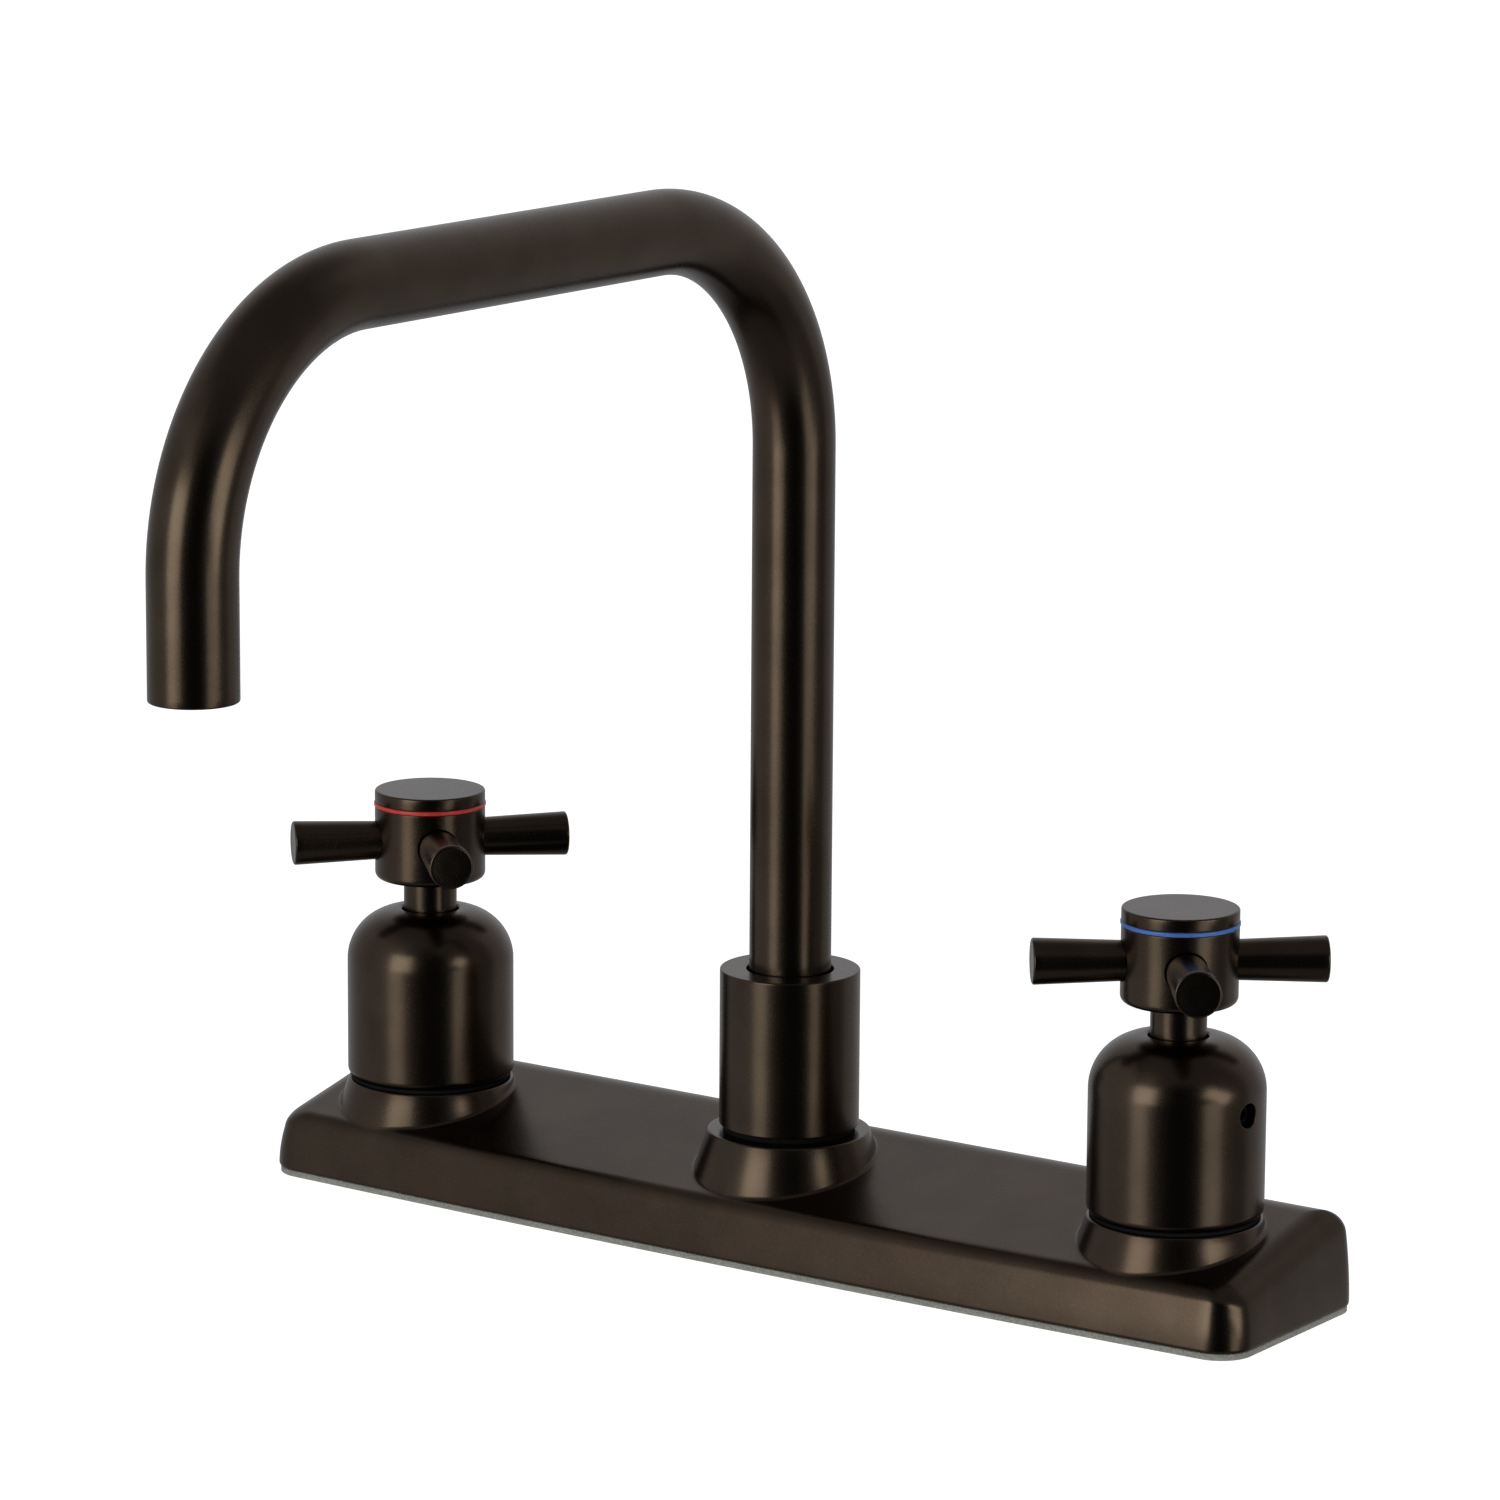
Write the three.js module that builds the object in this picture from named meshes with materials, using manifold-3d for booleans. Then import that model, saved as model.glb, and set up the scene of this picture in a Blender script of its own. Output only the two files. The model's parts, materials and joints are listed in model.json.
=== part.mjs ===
// Two handle kitchen faucet on a deck plate, with a square swivel spout.
// Millimetres, +Z up, the user stands on the -Y side. The origin is on the sink deck,
// under the gasket, on the axis that the spout turns about.

import * as THREE from 'three';
import { mergeVertices } from 'three/addons/utils/BufferGeometryUtils.js';
import Module from 'manifold-3d';

const wasm = await Module();
wasm.setup();

// ---------------------------------------------------------------- driving dimensions

// Fits that many pieces share.
const slipGap = 0.2;          // radial room of a piece that slides into another
const seatGap = 0.3;          // room behind a piece that is pushed into a blind hole
const turnGap = 0.1;          // room between faces that turn on each other
const screwRoom = 0.1;        // radial room of a screw in its threaded hole
const throughCut = 1;         // how far a cutting solid runs past the face it opens

// Layout on the sink.
const valveCentres = 203.2;   // hot axis to cold axis, the 8 inch pattern
const deckThickness = 12;     // sink deck that the mounting nuts are drawn up against

// Deck plate.
const gasketThickness = 1.5;
const gasketInset = 0.4;      // gasket edge inside the plate edge
const plateEnd = 29.9;        // valve axis to the end of the plate
const plateFront = 24.6;      // spout axis to the front edge, at the ends
const plateBow = 2.25;        // how much further the front edge stands out in the middle
const plateBack = 28.8;       // spout axis to the back edge
const plateTopHeight = 18;    // top face above the gasket, at the spout axis
const plateSlope = 12.1;      // degrees, the top face falls towards the user
const plateDraft = 3;         // degrees, the side walls lean in
const plateWall = 2.2;
const frontCornerRadius = 8;
const backCornerRadius = 6;
const smallestCorner = 1;     // the corners of the outlines further in shrink to this
const frontFillet = 4.2;      // rounding between the walls and the top face
const endFillet = 7;
const backFillet = 11;

// Bosses that carry the domes and the collar.
const bossFlare = 19;         // degrees, the boss widens downwards
const bossEdge = 0.4;
const bossRoot = 9;           // how far a boss is buried below the middle of the top face
const bossSeatCut = 9;        // height of the cut that faces a seat flat
const valveBossRise = 3.3;    // above the top face, at its axis
const spoutBossRise = 6.6;
const spoutBossLedge = 2.5;   // flat ring of the middle boss outside the collar
const valveBossInset = 0.15;  // the outer bosses are this much slimmer than the domes

// Valve cartridge, the size that the parts round it follow.
const cartridgeRadius = 8.8;
const cartridgeWall = 0.9;
const cartridgeFlange = 2.5;  // how far the flange stands out
const cartridgeFlangeThickness = 1.7;
const cartridgeNeckWall = 1.9;
const cartridgeNeckHeight = 9.5;
const sealHeight = 2;
const sealWidth = 1.1;
const discThickness = 3;
const discPortRadius = 1.9;
const discPortOffset = 4.2;
const discPorts = 2;
const stemRadius = 4;
const stemFlangeHeight = 3.8;

// Valve body.
const shankRadius = 10.3;     // 1/2-14 straight pipe thread
const shankBore = 6.5;
const shankLength = 58;       // below the sink deck
const shankLead = 1;
const inletRadius = 4;
const inletRise = 4.5;        // flange's foot to where the shank's bore narrows
const chamberRise = 4.9;      // flange's top to the seat that the cartridge stands on
const towerHeight = 16.6;     // chamber floor to the top of the tower
const towerWall = 3.2;
const flangeRoom = 0.8;       // radial room between the valve's flange and the hollow boss
const galleryDepth = 1.6;
const galleryStart = 3;       // above the chamber floor
const galleryHeight = 7;
const drillRadius = 1.5;
const drillBelowTube = 2;     // the drilling ends this far below the feed tube's axis

// Nut that holds the cartridge, and the dome over it.
const nutThreadWall = 1.1;
const nutSkirt = 4.6;
const nutLip = 7.15;          // the solid end of the nut, over the cartridge's flange
const nutRoom = 2;            // nut corner to the inside of the dome
const domeWall = 1.7;
const domeHeight = 39.2;
const domeShoulder = 12;
const domeFoot = 1.6;
const domeRingThickness = 0.95;
const domeRingInset = 0.7;
const neckGap = 0.45;
const setScrewRadius = 2.45;
const setScrewRecess = 0.9;
const setScrewSocket = 1.3;
const setScrewSocketDepth = 2;
const setScrewTipGap = 0.4;   // tip to the flat of the nut
const setScrewBelowNutTop = 0.3;
const setScrewTurn = 6;       // degrees, the dome is turned so that the screw faces the user a little

// Handle.
const neckRadius = 6.14;
const neckShown = 7.25;       // dome top to the underside of the handle
const neckRoom = 2.2;         // top of the cartridge to the foot of the neck sleeve
const hubRadius = 12.77;
const hubHeight = 17.1;
const hubFootRadius = 1.6;
const hubTopDepth = 5.5;      // recess for the screw head and the cap's spigot
const hubTopWall = 0.97;      // between the recess and the blind end of a bar's hole
const hubWeb = 1.4;
const indexRingThickness = 1;
const indexRingProud = 0.18;
const capThickness = 2.8;
const capEdge = 0.35;
const capSpigotRoom = 0.7;    // screw head to the foot of the cap's spigot
const barHeight = 9.2;        // bar axis above the underside of the hub
const barRootRadius = 4.45;
const barTipRadius = 5.08;
const barReach = 32;          // handle axis to the flat tip of a bar
const barDepth = 4.2;         // how far a bar enters the hub
const barEdge = 0.35;
const barCount = 4;
const hotBarAngle = 46.5;     // degrees, where the first bar points when the valve is shut
const coldBarAngle = 38.5;
const screwRadius = 2.4;
const screwHeadRadius = 4.2;
const screwHeadHeight = 2.6;
const screwLength = 11;
const screwSocketRadius = 2;
const screwSocketDepth = 1.5;

// Spout.
const tubeRadius = 9.17;
const tubeWall = 1.2;
const spoutReach = 206.7;     // swivel axis to outlet axis
const armHeight = 214.1;      // middle of the level arm above the plate's top face
const outletRun = 24.3;       // straight part below the far bend
const bendRadius = 52.4;

// Swivel joint at the foot of the spout.
const baseWall = 1.8;
const baseFlange = 2.6;
const baseFlangeThickness = 3;
const baseLength = 24;        // below the flange
const socketDepth = 8;        // how far the tube enters the base, below the flange
const ringSection = 0.85;     // radius of the rubber rings' section
const ringGroove = 1.3;
const ringHeights = [6, 12];  // above the foot of the base
const hubBoreRoom = 0.8;
const hubTowerWall = 2.2;
const hubWaterway = 7;
const hubFloor = 3.5;
const washerThickness = 1.5;
const upperWasherThickness = 2.2;
const collarHeight = 35.6;
const collarWall = 1.32;
const collarLip = 3.5;
const collarEdge = 0.5;
const collarThreadGap = 0.25;
const collarRingThickness = 1.4;
const collarRingInset = 0.9;
const collarTubeGap = 0.63;

// Feed tubes between the valves and the middle.
const feedTubeRadius = 4.76;
const feedTubeWall = 0.9;
const feedTubeRise = 8.5;     // flange's foot to the feed tube's axis
const feedTubeEntry = 4;

// Outlet insert.
const aeratorRecess = 1.2;
const aeratorHeight = 10;
const aeratorWall = 1.1;
const aeratorLip = 1.4;
const aeratorScreenThickness = 1;
const aeratorScreenHeight = 3.5;
const aeratorSlots = 5;
const aeratorSlotWidth = 1.1;
const aeratorWasherThickness = 1.6;
const aeratorWasherWidth = 2.2;

// Fixings under the sink.
const mountingWasherRadius = 18;
const mountingWasherThickness = 2;
const mountingNutRadius = 14.5;
const mountingNutHeight = 12;
const wingHeight = 9;
const mountingNutWings = 4;
const wingReach = 5;          // beyond the nut's body
const wingRoot = 3;           // how far a wing enters the body
const wingThickness = 4;

// Facets.
const showSides = 28;         // round pieces that are seen
const innerSides = 20;        // round pieces inside
const tubeSides = 20;
const barSides = 16;
const smallSides = 12;
const ringSides = 6;          // round the section of a rubber ring
const edgeSteps = 3;          // round small edges and hidden shoulders
const bendSteps = 8;
const shoulderSteps = 7;
const filletSteps = 4;
const cornerSteps = 4;
const frontSteps = 8;

// ---------------------------------------------------------------- derived levels and radii

const degree = Math.PI / 180;
const valveX = valveCentres / 2;
const plateLength = valveCentres + 2 * plateEnd;
const gasketTop = gasketThickness;
const topFaceZ = gasketTop + plateTopHeight;
const topRise = Math.tan(plateSlope * degree);
const bossSpread = Math.tan(bossFlare * degree);
const plateFillets = { front: frontFillet, end: endFillet, back: backFillet };
const draftSpread = Math.tan(plateDraft * degree);

// Valve, from the cartridge outwards.
const chamberRadius = cartridgeRadius + slipGap;
const towerRadius = chamberRadius + towerWall;
const nutBore = towerRadius + slipGap;
const nutFlat = nutBore + nutThreadWall;
const nutCorner = nutFlat / Math.cos(30 * degree);
const domeInner = nutCorner + nutRoom;
const domeRadius = domeInner + domeWall;
const valveBossRadius = domeRadius - valveBossInset;
const valveBossTop = topFaceZ + valveBossRise;
const flangeTop = valveBossTop - plateWall;
const flangeRadius = valveBossRadius - plateWall - flangeRoom;
const chamberFloor = flangeTop + chamberRise;
const inletStart = gasketTop + inletRise;
const feedTubeHeight = gasketTop + feedTubeRise;
const towerTop = chamberFloor + towerHeight;
const nutBottom = towerTop - nutSkirt;
const nutLipStart = towerTop + cartridgeFlangeThickness;
const nutTop = nutLipStart + nutLip;
const setScrewZ = nutTop - setScrewBelowNutTop - setScrewRadius;
const stemBore = stemRadius + slipGap;
const cartridgeNeckRadius = stemBore + cartridgeNeckWall;
const cartridgeTop = nutLipStart + cartridgeNeckHeight;
const discRadius = cartridgeRadius - cartridgeWall - seatGap;
const fixedDiscZ = chamberFloor + sealHeight;
const movingDiscZ = fixedDiscZ + discThickness + turnGap;
const stemFootZ = movingDiscZ + discThickness + turnGap;

// Dome and handle, stacked on the outer bosses.
const domeZ = valveBossTop + domeRingThickness;
const domeTopZ = domeZ + domeHeight;
const hubZ = domeTopZ + neckShown;
const hubTopZ = hubZ + hubHeight;
const capZ = hubTopZ + indexRingThickness;
const recessZ = hubTopZ - hubTopDepth;
const stemTopZ = recessZ - hubWeb - seatGap;
const barSeat = hubRadius - barDepth - seatGap;
const hubTopRadius = barSeat - hubTopWall;
const capSpigotZ = recessZ + screwHeadHeight + capSpigotRoom;

// Spout joint, from the tube outwards.
const tubeBore = tubeRadius - tubeWall;
const socketRadius = tubeRadius + slipGap;
const baseRadius = socketRadius + baseWall;
const spoutBore = baseRadius + hubBoreRoom;
const spoutTowerRadius = spoutBore + hubTowerWall;
const collarInner = spoutTowerRadius + collarThreadGap;
const collarRadius = collarInner + collarWall;
const baseFlangeRadius = baseRadius + baseFlange;
const spoutBossRadius = collarRadius + spoutBossLedge;
const spoutBossTop = topFaceZ + spoutBossRise;
const spoutFlangeTop = spoutBossTop - plateWall;
const spoutFlangeRadius = spoutBossRadius - plateWall - flangeRoom / 2;
const collarZ = spoutBossTop + collarRingThickness;
const collarTopZ = collarZ + collarHeight;
const lipZ = collarTopZ - collarLip;
const upperWasherZ = lipZ - upperWasherThickness;
const flangeZ = upperWasherZ - turnGap - baseFlangeThickness;
const lowerWasherZ = flangeZ - turnGap - washerThickness;
const baseZ = flangeZ - baseLength;
const tubeFootZ = flangeZ - socketDepth;
const armZ = topFaceZ + armHeight;
const bendZ = armZ - bendRadius;
const outletZ = bendZ - outletRun;
const aeratorRadius = tubeBore - slipGap;
const aeratorZ = outletZ + aeratorRecess;

// ---------------------------------------------------------------- finishes

const finish = (color, roughness, metalness) =>
  new THREE.MeshStandardMaterial({ color, roughness, metalness });
const bronze = finish(0x3a3029, 0.38, 0.9);
const brass = finish(0xb8934a, 0.4, 1);
const copper = finish(0xb87350, 0.35, 1);
const steel = finish(0xa9abad, 0.35, 1);
const whitePlastic = finish(0xe6e4de, 0.5, 0);
const greyFoam = finish(0xb4b3ae, 0.9, 0);
const blackRubber = finish(0x161616, 0.8, 0);
const ceramic = finish(0xf1efe9, 0.25, 0);
const redPlastic = finish(0xc0261f, 0.4, 0);
const bluePlastic = finish(0x2456b8, 0.4, 0);

// ---------------------------------------------------------------- shape helpers

// A geometry as a solid: corners merged, triangles that have shrunk to a line left out.
function toSolid(geometry) {
  const bare = geometry.clone();
  bare.deleteAttribute('normal');
  bare.deleteAttribute('uv');
  const merged = mergeVertices(bare, 1e-4);
  const corners = merged.index.array;
  const kept = [];
  for (let i = 0; i < corners.length; i += 3) {
    const [a, b, c] = [corners[i], corners[i + 1], corners[i + 2]];
    if (a !== b && b !== c && c !== a) kept.push(a, b, c);
  }
  return new wasm.Manifold(new wasm.Mesh({
    numProp: 3,
    vertProperties: new Float32Array(merged.attributes.position.array),
    triVerts: new Uint32Array(kept),
  }));
}

function toGeometry(solid) {
  const { vertProperties, triVerts } = solid.getMesh();
  const geometry = new THREE.BufferGeometry();
  geometry.setAttribute('position', new THREE.BufferAttribute(vertProperties, 3));
  geometry.setIndex(new THREE.BufferAttribute(triVerts, 1));
  geometry.computeVertexNormals();
  return geometry;
}

const cut = (body, tools) =>
  toGeometry(tools.reduce((rest, tool) => rest.subtract(toSolid(tool)), toSolid(body)));
const join = ([first, ...others]) =>
  toGeometry(others.reduce((sum, other) => sum.add(toSolid(other)), toSolid(first)));

// A turned piece on the Z axis. The profile is [radius, z] pairs, anticlockwise seen with
// the radius to the right: it starts and ends on the axis, or closes on itself.
function turned(profile, sides = showSides) {
  const points = profile.map(([radius, z]) => new THREE.Vector2(radius, z));
  const onAxis = profile[0][0] === 0;
  if (!onAxis) points.push(points[0].clone());
  return toGeometry(toSolid(new THREE.LatheGeometry(points, sides).rotateX(Math.PI / 2)));
}

const rod = (radius, low, high, sides) =>
  turned([[0, low], [radius, low], [radius, high], [0, high]], sides);

const ring = (inner, outer, low, high, sides) =>
  turned([[inner, low], [outer, low], [outer, high], [inner, high]], sides);

// Points of an arc in a profile, both ends included; angles in degrees.
function arc(centreRadius, centreZ, radius, from, to, steps) {
  return Array.from({ length: steps + 1 }, (_, i) => {
    const angle = (from + ((to - from) * i) / steps) * degree;
    return [centreRadius + radius * Math.cos(angle), centreZ + radius * Math.sin(angle)];
  });
}

const torus = (radius, section, z) =>
  turned(arc(radius, z, section, 0, 360, ringSides).slice(0, -1), innerSides);

// A rod along +X, from one distance off the axis to another, at height z.
const crossRod = (radius, near, far, z, sides = barSides) =>
  rod(radius, near, far, sides).rotateY(Math.PI / 2).translate(0, 0, z);

// A six-sided rod with two of its flats facing along X.
function hexagon(flat, low, high) {
  const corner = flat / Math.cos(30 * degree);
  return new THREE.CylinderGeometry(corner, corner, high - low, 6)
    .rotateX(Math.PI / 2)
    .translate(0, 0, (low + high) / 2);
}

const box = (width, depth, height, x, y, z) =>
  new THREE.BoxGeometry(width, depth, height).translate(x, y, z);

function piece(name, geometry, material, parent) {
  const mesh = new THREE.Mesh(geometry, material.clone());
  mesh.name = name;
  parent.add(mesh);
  return mesh;
}

// ---------------------------------------------------------------- deck plate

// One closed outline of the plate seen from above, anticlockwise, pulled in from the ends,
// the front and the back. Each point carries how far it belongs to the end (0 to 1) and if
// it is on the back half, so that a fillet can change its radius round the corner.
function plateOutline(endInset, frontInset, backInset) {
  const halfLength = plateLength / 2 - endInset;
  const back = plateBack - backInset;
  const front = -plateFront + frontInset;
  const frontCorner = Math.max(frontCornerRadius - Math.min(endInset, frontInset), smallestCorner);
  const backCorner = Math.max(backCornerRadius - Math.min(endInset, backInset), smallestCorner);
  const outline = [];
  const bowAt = (x) => plateBow * (1 - (x / halfLength) ** 2);
  const corner = (side, y, radius, isBack, from) => {
    const centreX = side * (halfLength - radius);
    const centreY = isBack ? y - radius : y + radius;
    for (let i = 0; i <= cornerSteps; i += 1) {
      const angle = (from + (90 * i) / cornerSteps) * degree;
      const endShare = Math.abs(Math.cos(angle)) ** 2;
      const x = centreX + radius * Math.cos(angle);
      const frontBow = isBack ? 0 : bowAt(x) * (1 - endShare);
      outline.push({ x, y: centreY + radius * Math.sin(angle) - frontBow, endShare, isBack });
    }
  };
  const straightStart = -(halfLength - frontCorner);
  for (let i = 1; i < frontSteps; i += 1) {
    const x = straightStart * (1 - (2 * i) / frontSteps);
    outline.push({ x, y: front - bowAt(x), endShare: 0, isBack: false });
  }
  corner(1, front, frontCorner, false, -90);
  corner(1, back, backCorner, true, 0);
  corner(-1, back, backCorner, true, 90);
  corner(-1, front, frontCorner, false, 180);
  return outline;
}

const topFaceAt = (y, lowered) => topFaceZ - lowered + topRise * y;

// The solid between a flat underside and the sloping top face, with leaning walls and
// rounded upper edges, made of outlines stacked from the bottom to the top.
function plateBlock({ inset, bottom, lowered, fillets }) {
  const layers = [];
  const addLayer = (wallLean, turn, atBottom) => {
    const inward = (radius) => inset + wallLean + radius * (1 - Math.cos(turn));
    const outline = plateOutline(inward(fillets.end), inward(fillets.front), inward(fillets.back));
    layers.push(outline.map(({ x, y, endShare, isBack }) => {
      const sideRadius = isBack ? fillets.back : fillets.front;
      const radius = sideRadius + (fillets.end - sideRadius) * endShare;
      const z = atBottom ? bottom : topFaceAt(y, lowered) - radius * (1 - Math.sin(turn));
      return [x, y, z];
    }));
  };
  const lean = draftSpread * plateTopHeight;
  addLayer(0, 0, true);
  for (let step = 0; step <= filletSteps; step += 1) {
    addLayer(lean, (step / filletSteps) * 90 * degree, false);
  }
  return closedStack(layers);
}

// Joins outlines with equal counts of points into one closed solid with flat end faces.
function closedStack(layers) {
  const count = layers[0].length;
  const corners = layers.flat(2);
  const faces = [];
  for (let layer = 0; layer < layers.length - 1; layer += 1) {
    for (let i = 0; i < count; i += 1) {
      const next = (i + 1) % count;
      const [a, b] = [layer * count + i, layer * count + next];
      faces.push(a, b, b + count, a, b + count, a + count);
    }
  }
  const capFaces = (layer, upwards) => {
    const flat = layers[layer].map(([x, y]) => new THREE.Vector2(x, y));
    for (const [a, b, c] of THREE.ShapeUtils.triangulateShape(flat, [])) {
      const [p, q, r] = [a, b, c].map((i) => layer * count + i);
      faces.push(...(upwards ? [p, q, r] : [p, r, q]));
    }
  };
  capFaces(0, false);
  capFaces(layers.length - 1, true);
  const geometry = new THREE.BufferGeometry();
  geometry.setAttribute('position', new THREE.Float32BufferAttribute(corners, 3));
  geometry.setIndex(faces);
  return geometry;
}

// A boss that widens downwards from its flat top.
function boss(x, topRadius, topZ, inset, lowered) {
  const rootZ = topFaceZ - bossRoot;
  const high = topZ - lowered;
  const radiusAt = (z) => topRadius - inset + (topZ - z) * bossSpread;
  const edge = lowered > 0 ? 0 : bossEdge;
  const profile = [
    [0, rootZ],
    [radiusAt(rootZ), rootZ],
    [radiusAt(high - edge), high - edge],
    [topRadius - inset - edge, high],
    [0, high],
  ];
  return turned(profile).translate(x, 0, 0);
}

const bossList = [
  { x: -valveX, radius: valveBossRadius, top: valveBossTop, hole: towerRadius + slipGap },
  { x: 0, radius: spoutBossRadius, top: spoutBossTop, hole: spoutTowerRadius + slipGap },
  { x: valveX, radius: valveBossRadius, top: valveBossTop, hole: towerRadius + slipGap },
];

function deckPlate() {
  const outside = plateBlock({ inset: 0, bottom: gasketTop, lowered: 0, fillets: plateFillets });
  const inside = plateBlock({
    inset: plateWall,
    bottom: gasketTop - throughCut,
    lowered: plateWall,
    fillets: { front: frontFillet / 2, end: endFillet / 2, back: backFillet / 2 },
  });
  const bosses = bossList.map(({ x, radius, top }) => boss(x, radius, top, 0, 0));
  const hollows = bossList.map(({ x, radius, top }) => boss(x, radius, top, plateWall, plateWall));
  const holes = bossList.map(({ x, hole, top }) =>
    rod(hole, gasketTop, top + throughCut).translate(x, 0, 0));
  // The sloping face rises past the outer bosses at the back, so each seat is faced flat.
  const seats = bossList.map(({ x, radius, top }) =>
    rod(radius, top, top + bossSeatCut).translate(x, 0, 0));
  return cut(join([outside, ...bosses]), [inside, ...hollows, ...holes, ...seats]);
}

// A flat pad with a hole for each threaded shank.
function baseGasket() {
  const outline = plateOutline(gasketInset, gasketInset, gasketInset);
  const shape = new THREE.Shape(outline.map(({ x, y }) => new THREE.Vector2(x, y)));
  const pad = new THREE.ExtrudeGeometry(shape, { depth: gasketThickness, bevelEnabled: false });
  const holes = [-valveX, valveX].map((x) =>
    rod(shankRadius + seatGap, -throughCut, gasketTop + throughCut, innerSides).translate(x, 0, 0));
  return cut(pad, holes);
}

// ---------------------------------------------------------------- valves

// A turned body: threaded shank, flange under the boss, and the tower that holds the
// cartridge. Water comes up the middle, leaves the chamber through a gallery round the
// cartridge, and runs down a drilling to the feed tube. Towards is the side of the spout.
function valveBody(towards) {
  const body = turned([
    [0, -shankLength],
    [shankRadius - shankLead, -shankLength],
    [shankRadius, -shankLength + shankLead],
    [shankRadius, gasketTop],
    [flangeRadius, gasketTop],
    [flangeRadius, flangeTop],
    [towerRadius, flangeTop],
    [towerRadius, towerTop],
    [0, towerTop],
  ], innerSides);
  const drillX = towards * (chamberRadius + galleryDepth - drillRadius);
  const drillZ = feedTubeHeight - drillBelowTube;
  const galleryZ = chamberFloor + galleryStart;
  const portEnd = flangeRadius - feedTubeEntry - seatGap;
  const portRadius = feedTubeRadius + slipGap;
  const port = crossRod(portRadius, portEnd, flangeRadius + throughCut, feedTubeHeight, smallSides);
  return cut(body, [
    rod(shankBore, -shankLength - throughCut, inletStart, innerSides),
    rod(inletRadius, inletStart - throughCut, chamberFloor + throughCut, innerSides),
    rod(chamberRadius, chamberFloor, towerTop + throughCut, innerSides),
    rod(chamberRadius + galleryDepth, galleryZ, galleryZ + galleryHeight, innerSides),
    rod(drillRadius, drillZ, galleryZ + throughCut, smallSides).translate(drillX, 0, 0),
    towards > 0 ? port : port.rotateZ(Math.PI),
  ]);
}

// Fixed shell of the cartridge, with two windows that let the water out to the gallery.
function cartridgeShell() {
  const bore = cartridgeRadius - cartridgeWall;
  const footZ = chamberFloor + seatGap;
  const roofZ = stemFootZ + stemFlangeHeight + slipGap;
  const shell = turned([
    [bore, footZ],
    [cartridgeRadius, footZ],
    [cartridgeRadius, towerTop],
    [cartridgeRadius + cartridgeFlange, towerTop],
    [cartridgeRadius + cartridgeFlange, nutLipStart],
    [cartridgeNeckRadius, nutLipStart],
    [cartridgeNeckRadius, cartridgeTop],
    [stemBore, cartridgeTop],
    [stemBore, roofZ],
    [bore, roofZ],
  ], innerSides);
  const windowHeight = galleryHeight - 2 * seatGap;
  const windowZ = chamberFloor + galleryStart + galleryHeight / 2;
  const window = box(2 * (cartridgeRadius + throughCut), discRadius, windowHeight, 0, 0, windowZ);
  return cut(shell, [window]);
}

// A ceramic disc with its ports; turn is where the first port lies, in degrees.
function valveDisc(z, turn) {
  const port = rod(discPortRadius, z - throughCut, z + discThickness + throughCut, smallSides)
    .translate(discPortOffset, 0, 0);
  const ports = Array.from({ length: discPorts }, (_, i) =>
    port.clone().rotateZ(turn * degree + (i / discPorts) * 2 * Math.PI));
  return cut(rod(discRadius, z, z + discThickness, innerSides), ports);
}

function cartridgeNut() {
  return cut(hexagon(nutFlat, nutBottom, nutTop), [
    rod(nutBore, nutBottom - throughCut, nutLipStart, innerSides),
    rod(cartridgeNeckRadius + slipGap, nutLipStart - throughCut, nutTop + throughCut, innerSides),
  ]);
}

// The bell over the valve: a straight wall, a round shoulder and a hole for the neck.
function dome(side) {
  const innerShoulder = domeShoulder - domeWall;
  const shoulderZ = domeTopZ - domeShoulder;
  const neckHole = neckRadius + neckGap;
  const bell = turned([
    [domeInner, domeZ],
    ...arc(domeRadius - domeFoot, domeZ + domeFoot, domeFoot, -90, 0, edgeSteps),
    ...arc(domeRadius - domeShoulder, shoulderZ, domeShoulder, 0, 90, shoulderSteps),
    [neckHole, domeTopZ],
    [neckHole, domeTopZ - domeWall],
    ...arc(domeInner - innerShoulder, shoulderZ, innerShoulder, 90, 0, edgeSteps),
  ]);
  const holeRadius = setScrewRadius + screwRoom;
  const holeStart = domeInner - throughCut;
  const hole = crossRod(holeRadius, holeStart, domeRadius + throughCut, setScrewZ, smallSides);
  return cut(bell, [side > 0 ? hole : hole.rotateZ(Math.PI)]);
}

// A headless screw through the dome's wall that bears on a flat of the nut.
function setScrew(side) {
  const near = nutFlat + setScrewTipGap;
  const far = domeRadius - setScrewRecess;
  const screw = crossRod(setScrewRadius, near, far, setScrewZ, smallSides);
  const socket = new THREE.CylinderGeometry(setScrewSocket, setScrewSocket, 2 * setScrewSocketDepth, 6)
    .rotateZ(Math.PI / 2)
    .translate(far, 0, setScrewZ);
  const finished = cut(screw, [socket]);
  return side > 0 ? finished : finished.rotateZ(Math.PI);
}

// A plastic nut with wings that fingers can turn under the sink.
function mountingNut() {
  const top = -deckThickness - mountingWasherThickness;
  const low = top - mountingNutHeight;
  const body = ring(shankRadius + slipGap, mountingNutRadius, low, top, innerSides);
  const wingMiddle = mountingNutRadius + (wingReach - wingRoot) / 2;
  const wings = Array.from({ length: mountingNutWings }, (_, i) =>
    box(wingReach + wingRoot, wingThickness, wingHeight, wingMiddle, 0, (low + top) / 2)
      .rotateZ((i / mountingNutWings) * 2 * Math.PI));
  return join([body, ...wings]);
}

function feedTube(side) {
  const start = spoutFlangeRadius - feedTubeEntry;
  const end = valveX - flangeRadius + feedTubeEntry;
  const tube = ring(feedTubeRadius - feedTubeWall, feedTubeRadius, start, end, smallSides)
    .rotateY(Math.PI / 2)
    .translate(0, 0, feedTubeHeight);
  return side > 0 ? tube : tube.rotateZ(Math.PI);
}

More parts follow.
